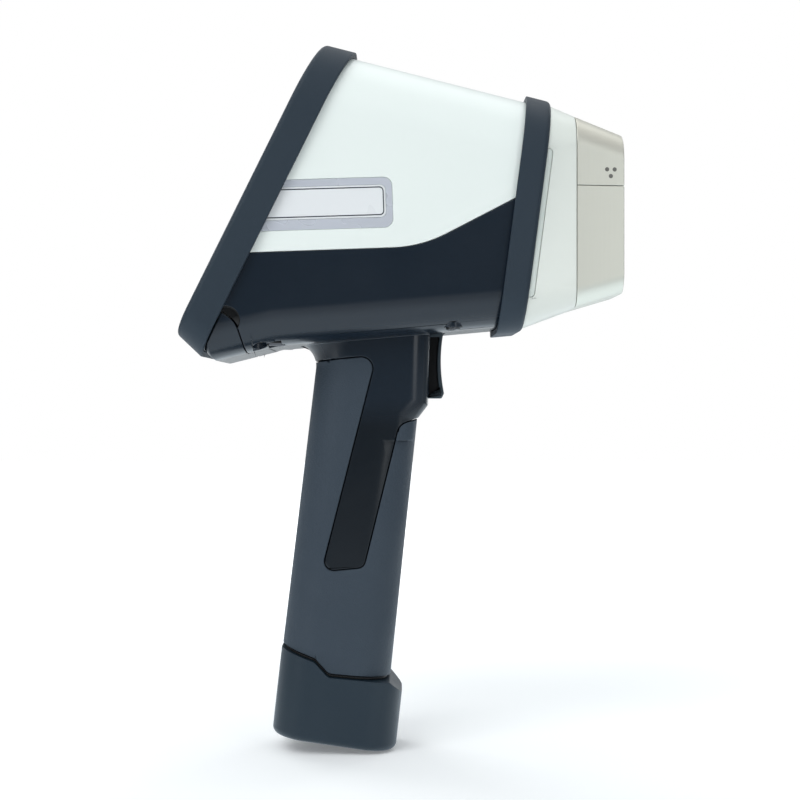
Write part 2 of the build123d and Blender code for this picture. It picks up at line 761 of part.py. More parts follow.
def trigger_slot():
    """Room in the neck and the belly for the trigger's swing."""
    points = [(2.4, 140.7), (13.0, 139.5), (30.0, 139.5), (30.0, 165.0), (17.3, 166.2)]
    points += [(17.3, 173.0), (11.0, 181.0), (-1.0, 181.0)]
    return slab(points, TRIGGER_HALF + BODY_GAP)


def socket_places():
    """Middle of each socket in the panel, as a plane facing out of the bay."""
    run = Vector(BAY_LOW[0] - BAY_TOP[0], 0, BAY_LOW[1] - BAY_TOP[1])
    outward = Vector(run.Z, 0, -run.X).normalized()
    middle = Vector(BAY_TOP[0], 0, BAY_TOP[1]) + run * SOCKET_SHARE
    return [Plane(origin=middle + Vector(0, y, 0), x_dir=(0, 1, 0), z_dir=outward) for y in SOCKET_Y]


def make_lower_housing(shell):
    """Lower housing with neck, handle core and tongue, before it is split down the middle."""
    skin = grip_skin(0)
    lower = shell - seam_prism(-SHUT_LINE)
    core = grip_skin(SLEEVE)
    exposed = skin - through(offset(sleeve_face(), GROOVE))
    lower = lower + core + exposed
    lower = lower & above_hem(0)
    well = handle_form(SLEEVE + CORE_WALL, -12.0, HANDLE_TOP) + neck_form(SLEEVE + CORE_WALL, WALL + 1.0)
    lower = lower - well
    lower = lower + posts() + trigger_ears() + (switch_shelf() & grip_skin(SLEEVE + 1.0)) + strap_blocks()
    chin = leaning_slab(back_line(REAR_GUARD), lambda z: FAR_FRONT)
    return lower - (cover_form(BODY_GAP) & chin) + bay_panel()


def half_of(shape, side):
    """Part of a shape on one side of the centre plane."""
    limits = sorted((side * SHUT_LINE / 2, side * FAR_SIDE))
    return shape & block((FAR_REAR, FAR_FRONT), limits, (FAR_LOW, FAR_HIGH))


def cut_lower_housing(lower):
    """Slots, pockets and bores in the lower housing."""
    pin = pivot_rod(PIN_RADIUS + RUNNING, PIN_HALF)
    notch = Pos(NOTCH_POINT[0], 0, NOTCH_POINT[1]) * Rot(90, 0, 0) * Cylinder(NOTCH_RADIUS, 2 * FAR_SIDE)
    notch = notch & (housing_form(-1.0) - housing_form(NOTCH_DEPTH))
    lower = lower - trigger_slot() - pin - notch - strap_pockets() - screw_seats()
    for place in socket_places():
        lower = lower - place * Box(SOCKET_WIDTH, SOCKET_HEIGHT, 2 * SOCKET_LENGTH)
    return lower


def pivot_rod(radius, half):
    return Pos(PIVOT[0], 0, PIVOT[1]) * Rot(90, 0, 0) * Cylinder(radius, 2 * half)


# ---- Guards ----
def make_rear_guard():
    band = leaning_slab(back_line(0), back_line(REAR_GUARD))
    guard = housing_form(-GUARD_PROUD) & band
    rim = [e for e in guard.edges() if abs(e.center().X - back_line(0)(e.center().Z)) < 0.05]
    guard = fillet(rim, 2.2)
    opening = housing_form(WALL + 2 * SHUT_LINE) & leaning_slab(back_line(-5), back_line(30))
    seat = housing_form(-SHUT_LINE) & leaning_slab(back_line(REAR_LIP - SHUT_LINE), back_line(30))
    return guard - opening - seat


def make_front_guard():
    band = leaning_slab(front_line(FRONT_GUARD), front_line(0))
    guard = housing_form(-GUARD_PROUD) & band
    rim = [e for e in guard.edges() if abs(e.center().X - front_line(0)(e.center().Z)) < 0.05]
    guard = fillet(rim, 2.4)
    seat = housing_form(-SHUT_LINE) & leaning_slab(front_line(30), front_line(CONE_LAP))
    return guard - seat - cone_form(-SHUT_LINE, 1.0)


# ---- Nose ----
def light_prism(side, grow):
    """Strip in front of the front guard with rounded front corners, on one side."""
    rear, front = front_line(1.0), front_line(-LIGHT_WIDTH - grow)
    low, high = LIGHT_LOW - grow, LIGHT_HIGH + grow
    points = [(rear(high), high), (rear(low), low), (front(low), low), (front(high), high)]
    radius = LIGHT_RADIUS + grow
    strip = through(rounded_profile(points, [0, 0, radius, radius]))
    return strip & block((0, FAR_FRONT), sorted((0, side * FAR_SIDE)), (0, FAR_HIGH))


def make_light_bar(side):
    return (cone_form(0) - cone_form(LIGHT_DEPTH, 1.0)) & light_prism(side, 0)


def make_cone():
    cone = cone_form(0) - cone_form(WALL, 1.0)
    for side in (-1, 1):
        recess = light_prism(side, SHUT_LINE) - cone_form(LIGHT_DEPTH + SHUT_LINE, 1.0)
        cone = cone - recess
    for index in range(VENTS):
        x = VENT_X + index * VENT_PITCH
        cone = cone - block((x, x + VENT_WIDTH), (-VENT_HALF, VENT_HALF), (0, VENT_TOP_Z))
    return cone


def nose_shell():
    rear = NOSE_REAR_X + SHUT_LINE
    shell = nose_form(0, rear, NOSE_FRONT_X)
    shell = shell - nose_form(SHEET, rear - 2, NOSE_FRONT_X - SHEET)
    return shell - nose_form(PLATE_RIM, NOSE_FRONT_X - 5, NOSE_FRONT_X + 2)


def make_window_plate():
    plate = nose_form(PLATE_RIM + SHUT_LINE, NOSE_FRONT_X - PLATE_THICK, NOSE_FRONT_X)
    hole = nose_rod(WINDOW_RADIUS, -1.0, PLATE_THICK + 1.0)
    plate = plate - hole - nose_rod(WINDOW_RADIUS + FILM_LAP, FILM_SINK, PLATE_THICK + 1.0)
    plate = plate - nose_rod(CAMERA_HOLE, -1.0, PLATE_THICK + 1.0, CAMERA_Y, CAMERA_Z)
    for y, z in PLATE_SCREWS:
        plate = plate - nose_rod(PLATE_SCREW_RADIUS + RUNNING, -1.0, PLATE_THICK + 1.0, y, z)
        plate = plate - nose_rod(PLATE_SCREW_HEAD + BORE_GAP, -1.0, PLATE_SCREW_SINK, y, z)
    return plate


def nose_rod(radius, near, far, y=0.0, z=WINDOW_Z):
    """Rod along X between two depths behind the nose's front face."""
    middle = Pos(NOSE_FRONT_X - (near + far) / 2, y, z)
    return middle * Rot(0, 90, 0) * Cylinder(radius, far - near)


# ---- Display ----
def make_bezel():
    front = REAR_LIP + SHUT_LINE
    plate = housing_form(WALL + SHUT_LINE) & leaning_slab(back_line(front), back_line(front + BEZEL_THICK))
    pocket = back_plane(front, GLASS_UP) * RectangleRounded(GLASS_WIDTH, GLASS_HEIGHT, GLASS_RADIUS)
    plate = plate - extrude(pocket, GLASS_THICK + SHUT_LINE + GASKET_THICK, both=True)
    window = back_plane(front, GLASS_UP) * Rectangle(lcd_width(), lcd_height())
    plate = plate - extrude(window, 20.0, both=True)
    for hole in key_faces(BODY_GAP):
        plate = plate - extrude(back_plane(front) * hole, 20.0, both=True)
    for x in (-1, 1):
        for y in (-1, 1):
            foot = Pos(x * BOARD_HOLE_X, y * BOARD_HOLE_Y) * Circle(BOARD_POST)
            reach = BOARD_DEPTH - front - BEZEL_THICK + SHUT_LINE
            plate += extrude(back_plane(BOARD_DEPTH, BOARD_UP) * foot, reach)
    return plate


def lcd_width():
    return GLASS_WIDTH - 2 * LCD_MARGIN


def lcd_height():
    return GLASS_HEIGHT - 2 * LCD_MARGIN


def glass_stack(face, depth, thick):
    """Layer of the display, its outer face at depth."""
    return extrude(back_plane(depth, GLASS_UP) * face, -thick)


def make_cover_glass():
    gap = SHUT_LINE
    face = RectangleRounded(GLASS_WIDTH - 2 * gap, GLASS_HEIGHT - 2 * gap, GLASS_RADIUS - gap)
    return glass_stack(face, REAR_LIP + SHUT_LINE, GLASS_THICK)


def make_gasket():
    gap = SHUT_LINE
    outer = RectangleRounded(GLASS_WIDTH - 2 * gap, GLASS_HEIGHT - 2 * gap, GLASS_RADIUS - gap)
    inner = Rectangle(lcd_width() - 2 * LCD_FRAME, lcd_height() - 2 * LCD_FRAME)
    return glass_stack(outer - inner, REAR_LIP + SHUT_LINE + GLASS_THICK, GASKET_THICK)


def make_lcd():
    gap = SHUT_LINE
    face = Rectangle(lcd_width() - 2 * gap, lcd_height() - 2 * gap)
    return glass_stack(face, REAR_LIP + SHUT_LINE + GLASS_THICK + GASKET_THICK, LCD_THICK)


def key_faces(grow):
    """Outlines of the three keys below the display, power in the middle."""
    menu = RectangleRounded(MENU_WIDTH + 2 * grow, MENU_HEIGHT + 2 * grow, MENU_RADIUS + grow)
    power = Pos(0, KEYS_UP) * Circle(POWER_RADIUS + grow)
    return [power, Pos(-MENU_SPREAD, KEYS_UP) * menu, Pos(MENU_SPREAD, KEYS_UP) * menu]


def make_key(index):
    front = REAR_LIP + SHUT_LINE - KEY_PROUD
    back = REAR_LIP + SHUT_LINE + BEZEL_THICK + BODY_GAP
    cap = extrude(back_plane(front) * key_faces(0)[index], -(back - front))
    outer = cap.faces().sort_by(lambda face: (face.center() - Vector(*SCREEN_MIDDLE)).dot(OUT_BACK))[-1]
    cap = fillet(outer.edges(), KEY_EDGE)
    return cap + extrude(back_plane(back) * key_faces(KEY_FLANGE)[index], -FLANGE_THICK)


def make_key_board():
    """Board with a contact dome behind each key, on two posts from the bezel."""
    under = REAR_LIP + SHUT_LINE + BEZEL_THICK
    top = under + BODY_GAP + FLANGE_THICK + KEY_TRAVEL + DOME_HEIGHT + RUNNING
    board = extrude(back_plane(top) * (Pos(0, KEYS_UP) * Rectangle(*KEY_BOARD)), -KEY_BOARD_THICK)
    for index in range(3):
        middle = key_faces(0)[index].center()
        board += extrude(back_plane(top) * (Pos(middle.X, middle.Y) * Circle(DOME_RADIUS)), DOME_HEIGHT)
    for x in (-KEY_POST_X, KEY_POST_X):
        post = Pos(x, KEYS_UP) * Circle(DOME_RADIUS)
        board += extrude(back_plane(top) * post, top - under - SHUT_LINE)
    return board


def make_main_board():
    face = Rectangle(2 * (BOARD_HOLE_X + BOARD_EDGE), 2 * (BOARD_HOLE_Y + BOARD_EDGE))
    board = extrude(back_plane(BOARD_DEPTH, BOARD_UP) * face, -BOARD_THICK)
    for x, y, width, height, thick in BOARD_CHIPS:
        chip = Pos(x, y) * Rectangle(width, height)
        board += extrude(back_plane(BOARD_DEPTH + BOARD_THICK, BOARD_UP) * chip, -thick)
    return board


# ---- Measuring parts ----
def make_chassis():
    """Plate that carries the measuring parts, with short posts below for the signal board."""
    high = PLATE_TOP_Z
    low = high - CHASSIS_THICK
    corners = [(CHASSIS_REAR, CHASSIS_REAR_HALF), CHASSIS_WAIST, (head_rear(), CHASSIS_FRONT_HALF)]
    outline = corners + [(x, -y) for x, y in reversed(corners)]
    plate = extrude(Pos(0, 0, low) * make_face(Polyline(*outline, close=True)), CHASSIS_THICK)
    plate = plate - aimed_rod(DETECTOR_TILT, DETECTOR_RADIUS + BODY_GAP, 0.0, DETECTOR_FAR)
    for x, y in CHASSIS_POSTS:
        plate = plate - upright_rod(x, y, SCREW_RADIUS + BORE_GAP, low - 1.0, high + 1.0)
    for x, y in SIGNAL_POSTS:
        plate += upright_rod(x, y, POST_RADIUS, low - POST_HEIGHT, low)
    return plate


def head_rear():
    return NOSE_FRONT_X - PLATE_THICK - HEAD_LENGTH


def aimed_rod(tilt, radius, near, far, offset_up=0.0):
    """Rod along a line into the window, between two distances back from it."""
    middle = Pos(0, offset_up) * Circle(radius)
    return extrude(aim_plane(tilt, far) * middle, far - near)


def make_head():
    """Block behind the window with a bore for the tube, the detector, the wheel and the camera."""
    front = NOSE_FRONT_X - PLATE_THICK
    head = block((head_rear(), front), (-HEAD_HALF, HEAD_HALF), (HEAD_LOW, HEAD_HIGH))
    head = head - aimed_rod(TUBE_TILT, SNOUT_RADIUS + BORE_GAP, SNOUT_NEAR - BORE_GAP, TUBE_FAR)
    head = head - aimed_rod(TUBE_TILT, BEAM_RADIUS, -BEAM_RADIUS, SNOUT_NEAR)
    head = head - aimed_rod(DETECTOR_TILT, DETECTOR_RADIUS + BORE_GAP, DETECTOR_NEAR - BORE_GAP, DETECTOR_FAR)
    eye = DETECTOR_RADIUS - DETECTOR_LIP + BORE_GAP
    head = head - aimed_rod(DETECTOR_TILT, eye, -DETECTOR_RADIUS, DETECTOR_NEAR)
    near, far = WHEEL_NEAR - WHEEL_ROOM, WHEEL_NEAR + WHEEL_THICK + WHEEL_ROOM
    head = head - aimed_rod(TUBE_TILT, WHEEL_RADIUS + WHEEL_ROOM, near, far, WHEEL_OFFSET)
    head = head - aimed_rod(TUBE_TILT, MOTOR_RADIUS + BORE_GAP, WHEEL_NEAR, TUBE_FAR, WHEEL_OFFSET)
    head = head - camera_block(SHUT_LINE, front + 1.0)
    for y, z in PLATE_SCREWS:
        depth = PLATE_SCREW_SINK + PLATE_SCREW_LENGTH
        head = head - nose_rod(PLATE_SCREW_RADIUS + RUNNING, PLATE_THICK - 1.0, depth + 1.0, y, z)
    return head


def camera_block(grow, front):
    reach = CAMERA_HALF + grow
    rear = NOSE_FRONT_X - PLATE_THICK - CAMERA_LENGTH - grow
    return block((rear, front), (CAMERA_Y - reach, CAMERA_Y + reach), (CAMERA_Z - reach, CAMERA_Z + reach))


def make_wheel():
    wheel = aimed_rod(TUBE_TILT, WHEEL_RADIUS, WHEEL_NEAR, WHEEL_NEAR + WHEEL_THICK, WHEEL_OFFSET)
    plane = aim_plane(TUBE_TILT, WHEEL_NEAR)
    for index in range(FILTERS):
        hole = Rot(0, 0, index * 360 / FILTERS) * Pos(0, -WHEEL_OFFSET) * Circle(FILTER_RADIUS)
        wheel = wheel - extrude(plane * (Pos(0, WHEEL_OFFSET) * hole), 3 * WHEEL_THICK, both=True)
    middle, far = WHEEL_NEAR + WHEEL_THICK / 2, WHEEL_NEAR + WHEEL_THICK + SHAFT_LENGTH
    return wheel + aimed_rod(TUBE_TILT, SHAFT_RADIUS, middle, far, WHEEL_OFFSET)


def make_motor():
    near = WHEEL_NEAR + WHEEL_THICK + WHEEL_ROOM + BORE_GAP
    motor = aimed_rod(TUBE_TILT, MOTOR_RADIUS, near, near + MOTOR_LENGTH, WHEEL_OFFSET)
    return motor - aimed_rod(TUBE_TILT, SHAFT_RADIUS + RUNNING, WHEEL_NEAR, near + SHAFT_LENGTH, WHEEL_OFFSET)


def make_tube():
    body = aimed_rod(TUBE_TILT, TUBE_RADIUS, TUBE_NEAR, TUBE_FAR)
    return body + aimed_rod(TUBE_TILT, SNOUT_RADIUS, SNOUT_NEAR, TUBE_NEAR + 1.0)


def make_high_voltage():
    heights = (PLATE_TOP_Z, PLATE_TOP_Z + MODULE_HEIGHT)
    module = block((MODULE_REAR, MODULE_FRONT), (-MODULE_HALF, MODULE_HALF), heights)
    module = fillet(module.edges().filter_by(Axis.Z), MODULE_RADIUS)
    return module - aimed_rod(TUBE_TILT, TUBE_RADIUS + BODY_GAP, TUBE_NEAR, TUBE_FAR + BODY_GAP)


def make_detector():
    can = aimed_rod(DETECTOR_TILT, DETECTOR_RADIUS, DETECTOR_NEAR, DETECTOR_FAR)
    inner = DETECTOR_RADIUS - DETECTOR_LIP
    return can + aimed_rod(DETECTOR_TILT, inner, DETECTOR_NEAR - 1.0, DETECTOR_FAR + DETECTOR_STEM)


def make_camera():
    body = camera_block(0, NOSE_FRONT_X - PLATE_THICK - SHUT_LINE)
    return body + nose_rod(CAMERA_HOLE - BORE_GAP, PLATE_THICK - 1.4, PLATE_THICK + 1.0, CAMERA_Y, CAMERA_Z)


def make_signal_board():
    """Board hung under the chassis plate, with two screening cans on its lower face."""
    top = PLATE_TOP_Z - CHASSIS_THICK - POST_HEIGHT
    low = top - BOARD_THICK
    along = [x for x, y in SIGNAL_POSTS]
    half = max(y for x, y in SIGNAL_POSTS) + SIGNAL_EDGE
    board = block((min(along) - SIGNAL_EDGE, max(along) + SIGNAL_EDGE), (-half, half), (low, top))
    for x, y, width, height in SIGNAL_CANS:
        board += block((x, x + width), (y, y + height), (low - CAN_HEIGHT, low))
    return board


def make_window_film():
    return nose_rod(WINDOW_RADIUS + FILM_LAP - BORE_GAP, FILM_SINK, FILM_SINK + FILM_THICK)


def make_plate_screws():
    screws = Part()
    for y, z in PLATE_SCREWS:
        screws += nose_rod(PLATE_SCREW_HEAD, PLATE_SCREW_SINK - 1.0, PLATE_SCREW_SINK, y, z)
        far = PLATE_SCREW_SINK + PLATE_SCREW_LENGTH
        screws += nose_rod(PLATE_SCREW_RADIUS, PLATE_SCREW_SINK - 0.5, far, y, z)
    return screws


def make_housing_screws():
    screws = Part()
    for places, seat, length in screw_rows():
        for x, y in places:
            screws += upright_rod(x, y, SCREW_HEAD_RADIUS, seat - SCREW_HEAD_THICK, seat)
            screws += upright_rod(x, y, SCREW_RADIUS, seat, seat + length)
    return screws


# ---- Chin ----
def make_port_cover():
    face = leaning_slab(back_line(REAR_GUARD + BODY_GAP), lambda z: FAR_FRONT)
    return (housing_form(0) - housing_form(WALL)) & cover_form(0) & face


def make_sockets():
    shells = Part()
    for place in socket_places():
        width, height = SOCKET_WIDTH - 2 * BORE_GAP, SOCKET_HEIGHT - 2 * BORE_GAP
        body = Pos(0, 0, -SOCKET_LENGTH / 2 + SOCKET_WALL) * Box(width, height, SOCKET_LENGTH)
        mouth = Box(width - 2 * SOCKET_WALL, height - 2 * SOCKET_WALL, 1.5 * SOCKET_LENGTH)
        shells += place * (body - mouth)
    return shells


def make_port_board():
    width = SOCKET_Y[-1] - SOCKET_Y[0] + 2 * SOCKET_WIDTH
    back = SOCKET_LENGTH - SOCKET_WALL + BOARD_THICK / 2
    return socket_places()[1] * (Pos(0, 0, -back) * Box(width, 2 * SOCKET_HEIGHT, BOARD_THICK))


def make_strap_bars():
    bars = Part()
    for side in (-1, 1):
        bar = Cylinder(STRAP_BAR_RADIUS, strap_bar_length())
        bars += Pos(STRAP_X, side * STRAP_Y, STRAP_Z) * Rot(0, 90, 0) * bar
    return bars


# ---- Trigger ----
def make_trigger():
    """Curved blade hung from the pin, with a recess in each flank that leaves a rim."""
    toe = (TRIGGER_TOE_X, TRIGGER_LOW + 2 * TRIGGER_EDGE)
    middle_z = (TRIGGER_HEAD[1] + TRIGGER_LOW) / 2
    front = ThreePointArc(TRIGGER_HEAD, (TRIGGER_WAIST_X, middle_z), toe)
    heel = (TRIGGER_REAR_LOW_X, TRIGGER_LOW)
    sole = Polyline(toe, (toe[0] - TRIGGER_EDGE, TRIGGER_LOW), heel, TRIGGER_REAR_HIGH)
    crown = Polyline(TRIGGER_REAR_HIGH, PIVOT, TRIGGER_HEAD)
    face = make_face(front + sole + crown)
    blade = through(face, TRIGGER_HALF)
    faces = blade.faces().sort_by(lambda each: each.center().X)
    rounded = [e for e in faces[-1].edges() if abs(abs(e.center().Y) - TRIGGER_HALF) < RUNNING]
    blade = fillet(rounded, TRIGGER_EDGE) + pivot_rod(EYE_RADIUS, TRIGGER_HALF)
    low_z, high_z = TRIGGER_LOW + TRIGGER_RIM, TRIGGER_HEAD[1] - TRIGGER_RIM
    rear_x = TRIGGER_REAR_LOW_X - TRIGGER_RIM
    flank = ThreePointArc(
        (TRIGGER_HEAD[0] - TRIGGER_RIM, high_z),
        (TRIGGER_WAIST_X - TRIGGER_RIM, middle_z),
        (TRIGGER_TOE_X - TRIGGER_RIM, low_z),
    )
    rest = Polyline(flank @ 1, (rear_x, low_z), (rear_x, high_z), flank @ 0)
    outline = make_face(flank + rest)
    recess = through(outline) - through(outline, TRIGGER_HALF - TRIGGER_RECESS)
    return blade - recess - pivot_rod(PIN_RADIUS + RUNNING, PIN_HALF)


def make_trigger_pin():
    return pivot_rod(PIN_RADIUS, PIN_HALF - SHUT_LINE)


def make_switch():
    """Square switch with a push button in its front face."""
    middle_z = SHELF_Z + SWITCH_HALF
    length = (SWITCH_REAR, SWITCH_FRONT)
    body = block(length, (-SWITCH_HALF, SWITCH_HALF), (SHELF_Z, SHELF_Z + 2 * SWITCH_HALF))
    heights = (middle_z - BUTTON_HALF, middle_z + BUTTON_HALF)
    button = block((SWITCH_REAR, SWITCH_FRONT + SWITCH_BUTTON), (-BUTTON_HALF, BUTTON_HALF), heights)
    return body + button


def make_trigger_spring():
    """Leaf spring clamped under the shelf, bent forward to press on the trigger's back."""
    low = SHELF_Z - SHELF_THICK - SPRING_THICK
    bend = (SPRING_BEND_X, low)
    points = [(SPRING_REAR_X, low + SPRING_THICK), (bend[0], low + SPRING_THICK), SPRING_TIP]
    points += [(SPRING_TIP[0] + SPRING_THICK, SPRING_TIP[1]), bend, (SPRING_REAR_X, low)]
    return slab(points, SPRING_HALF)


# ---- Battery ----
def make_battery():
    return handle_form(SLEEVE + CORE_WALL + PACK_GAP, -PACK_SINK, BATTERY_TOP)


def make_contacts(low, high, radius):
    pads = Part()
    for y in CONTACTS_Y:
        pads += extrude(handle_plane(low) * (Pos(CONTACT_X, y) * Circle(radius)), high - low)
    return pads


def make_contact_block():
    """Block across the handle above the battery that holds the sprung pins."""
    low = BATTERY_TOP + BLOCK_ABOVE
    plate = extrude(handle_section(low, SLEEVE + CORE_WALL + BORE_GAP), BLOCK_THICK)
    wires = Pos(-CONTACT_X / 2, 0) * Rectangle(8.0, CONTACTS_Y[-1] - CONTACTS_Y[0])
    plate = plate - extrude(handle_plane(low) * wires, 2 * BLOCK_THICK, both=True)
    return plate - make_contacts(low - 1.0, low + BLOCK_THICK + 1.0, PROBE_RADIUS + RUNNING)


def foot_form():
    plan = Pos(FOOT_FORWARD, 0) * RectangleRounded(FOOT_DEPTH, FOOT_WIDTH, FOOT_RADIUS)
    column = extrude(handle_plane(0) * plan, 45.0, both=True)
    bottom = sloping(FOOT_LOW_POINT, FOOT_TILT)
    line = hem(SEAL_GAP)
    brow = (BROW_X, sloping(HEM_FRONT, HEM_FRONT_SLOPE)(BROW_X) - SEAL_GAP)
    ledge = brow[1] - BROW_DROP
    points = line[:3] + [brow, (BROW_X + BROW_DROP, ledge), (FAR_FRONT, ledge)]
    points += [(FAR_FRONT, bottom(FAR_FRONT)), (FAR_REAR, bottom(FAR_REAR))]
    profile = rounded_profile(points, [0, HEM_RADIUS, HEM_RADIUS, 1.0, 1.5, 0, 0, 0])
    foot = column & through(profile)
    base = foot.faces().sort_by(Axis.Z)[0]
    return fillet(base.edges(), FOOT_EDGE)


def latch_box(grow, back):
    """Latch button in the front of the foot, in handle directions."""
    width, height = LATCH_WIDTH + 2 * grow, LATCH_HEIGHT + 2 * grow
    return extrude(latch_place(back) * RectangleRounded(height, width, LATCH_RADIUS), back)


def latch_place(back):
    """Place at a depth behind the foot's front face, facing forward."""
    front = FOOT_DEPTH / 2 + FOOT_FORWARD
    return handle_plane(0) * Pos(front - back, 0, LATCH_ALONG) * Rot(0, 90, 0)


def make_foot():
    seat = handle_form(SLEEVE + CORE_WALL + PACK_GAP - BORE_GAP, -PACK_SINK, BATTERY_TOP)
    return foot_form() - seat - latch_box(BODY_GAP, LATCH_ROOM)


def make_latch():
    latch = latch_box(0, LATCH_LENGTH)
    for along in LATCH_RIBS:
        groove = Pos(-along, 0) * Rectangle(RIB_GROOVE, LATCH_WIDTH)
        latch = latch - extrude(latch_place(RIB_DEPTH) * groove, RIB_DEPTH)
    return latch


def make_latch_spring():
    ring = Circle(COIL_RADIUS) - Circle(COIL_RADIUS - COIL_WIRE)
    return extrude(latch_place(LATCH_ROOM) * ring, LATCH_ROOM - LATCH_LENGTH)


def make_seal():
    """Ring of soft rubber between the hem of the grip and the foot."""
    ring = handle_form(SEAL_INSET, -PACK_SINK, BATTERY_TOP)
    ring = ring - handle_form(SLEEVE + CORE_WALL + 2 * BORE_GAP, -PACK_SINK - 1.0, BATTERY_TOP + 1.0)
    return ring & (above_hem(SEAL_GAP) - above_hem(BODY_GAP))


# ---- Labels ----
def make_label_frame(side):
    outer = label_prism(side, SHUT_LINE, LABEL_HEIGHT - 2 * SHUT_LINE, -LABEL_DEPTH, -0.2)
    return outer - label_prism(side, LABEL_PLATE_MARGIN, LABEL_PLATE_HEIGHT, -WALL, WALL, LABEL_PLATE_UP)


def make_label_plate(side):
    margin = LABEL_PLATE_MARGIN + SHUT_LINE
    height = LABEL_PLATE_HEIGHT - 2 * SHUT_LINE
    return label_prism(side, margin, height, -LABEL_DEPTH, -0.1, LABEL_PLATE_UP)


def make_sleeve():
    rubber = grip_skin(0) - grip_skin(SLEEVE)
    return rubber & through(sleeve_face()) & above_hem(0)


def build_parts():
    shell = housing_shell()
    lower = cut_lower_housing(make_lower_housing(shell))
    nose = nose_shell()
    below_split = block((0, FAR_FRONT), (-FAR_SIDE, FAR_SIDE), (FAR_LOW, NOSE_SPLIT_Z - SHUT_LINE))
    above_split = block((0, FAR_FRONT), (-FAR_SIDE, FAR_SIDE), (NOSE_SPLIT_Z, FAR_HIGH))
    pack = BATTERY_TOP
    probe = pack + PAD_THICK + PROBE_GAP
    parts = {
        "upper_housing": make_upper_housing(shell),
        "rear_guard": make_rear_guard(),
        "front_guard": make_front_guard(),
        "grip_sleeve": make_sleeve(),
        "nose_cone": make_cone(),
        "nose_upper_shell": nose & above_split,
        "nose_lower_shell": nose & below_split,
        "window_plate": make_window_plate(),
        "window_film": make_window_film(),
        "window_screws": make_plate_screws(),
        "measuring_head": make_head(),
        "xray_tube": make_tube(),
        "high_voltage_module": make_high_voltage(),
        "detector": make_detector(),
        "filter_wheel": make_wheel(),
        "filter_motor": make_motor(),
        "camera": make_camera(),
        "chassis_plate": make_chassis(),
        "signal_board": make_signal_board(),
        "housing_screws": make_housing_screws(),
        "display_bezel": make_bezel(),
        "display_gasket": make_gasket(),
        "cover_glass": make_cover_glass(),
        "lcd_panel": make_lcd(),
        "main_board": make_main_board(),
        "key_board": make_key_board(),
        "power_key": make_key(0),
        "menu_key_right": make_key(1),
        "menu_key_left": make_key(2),
        "trigger": make_trigger(),
        "trigger_pin": make_trigger_pin(),
        "trigger_spring": make_trigger_spring(),
        "trigger_switch": make_switch(),
        "battery_pack": make_battery(),
        "battery_foot": make_foot(),
        "battery_seal": make_seal(),
        "battery_contacts": make_contacts(pack, pack + PAD_THICK, PAD_RADIUS),
        "battery_latch": make_latch(),
        "latch_spring": make_latch_spring(),
        "contact_block": make_contact_block(),
        "contact_pins": make_contacts(probe, probe + PROBE_LENGTH, PROBE_RADIUS),
        "port_cover": make_port_cover(),
        "port_board": make_port_board(),
        "port_sockets": make_sockets(),
        "strap_bars": make_strap_bars(),
    }
    for side, name in ((-1, "right"), (1, "left")):
        parts["lower_housing_" + name] = half_of(lower, side)
        parts["light_bar_" + name] = make_light_bar(side)
        parts["label_frame_" + name] = make_label_frame(side)
        parts["label_plate_" + name] = make_label_plate(side)
    return parts


if __name__ == "__main__":
    os.makedirs("parts", exist_ok=True)
    for node, shape in build_parts().items():
        export_step(shape, "parts/" + node + ".step")
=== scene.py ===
import bpy
from math import cos, exp, radians, sin, tan
from mathutils import Matrix, Vector


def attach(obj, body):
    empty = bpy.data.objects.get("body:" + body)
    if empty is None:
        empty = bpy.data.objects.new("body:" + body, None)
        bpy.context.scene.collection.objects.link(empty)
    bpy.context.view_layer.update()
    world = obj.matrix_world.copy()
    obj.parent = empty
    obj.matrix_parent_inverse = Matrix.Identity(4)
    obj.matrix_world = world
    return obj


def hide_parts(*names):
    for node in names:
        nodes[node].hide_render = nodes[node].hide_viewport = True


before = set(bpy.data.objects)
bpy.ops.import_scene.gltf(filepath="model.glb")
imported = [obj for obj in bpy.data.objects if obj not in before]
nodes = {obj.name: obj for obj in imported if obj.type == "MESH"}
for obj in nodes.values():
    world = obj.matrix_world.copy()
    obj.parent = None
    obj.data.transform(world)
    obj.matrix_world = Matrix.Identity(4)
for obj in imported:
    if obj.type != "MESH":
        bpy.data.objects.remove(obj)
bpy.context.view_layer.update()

MM = 0.001


# ---- Camera ----
# A short telephoto stands level with the middle of the instrument, square to its right side,
# with the measuring nose to the right of the picture.
camera_data = bpy.data.cameras.new("side_camera")
camera_data.lens = 72
camera_data.sensor_width = 36
camera = bpy.data.objects.new("side_camera", camera_data)
camera.location = (-0.001, -0.656, 0.141)
camera.rotation_euler = (radians(90), 0, 0)
bpy.context.scene.collection.objects.link(camera)
bpy.context.scene.camera = camera
bpy.context.scene.view_settings.view_transform = "Standard"


# ---- Floor and backdrop ----
# The instrument stands on a plain white sweep. The sheet reads as white paper to the camera and
# keeps the soft shadow of the battery foot.
def blank_material(name):
    """A new material and its Principled shader."""
    material = bpy.data.materials.new(name)
    material.use_nodes = True
    return material, material.node_tree.nodes["Principled BSDF"]


def deselect_all():
    """Leaves edit mode and lets go of every piece."""
    if bpy.context.object and bpy.context.object.mode != "OBJECT":
        bpy.ops.object.mode_set(mode="OBJECT")
    bpy.ops.object.select_all(action="DESELECT")


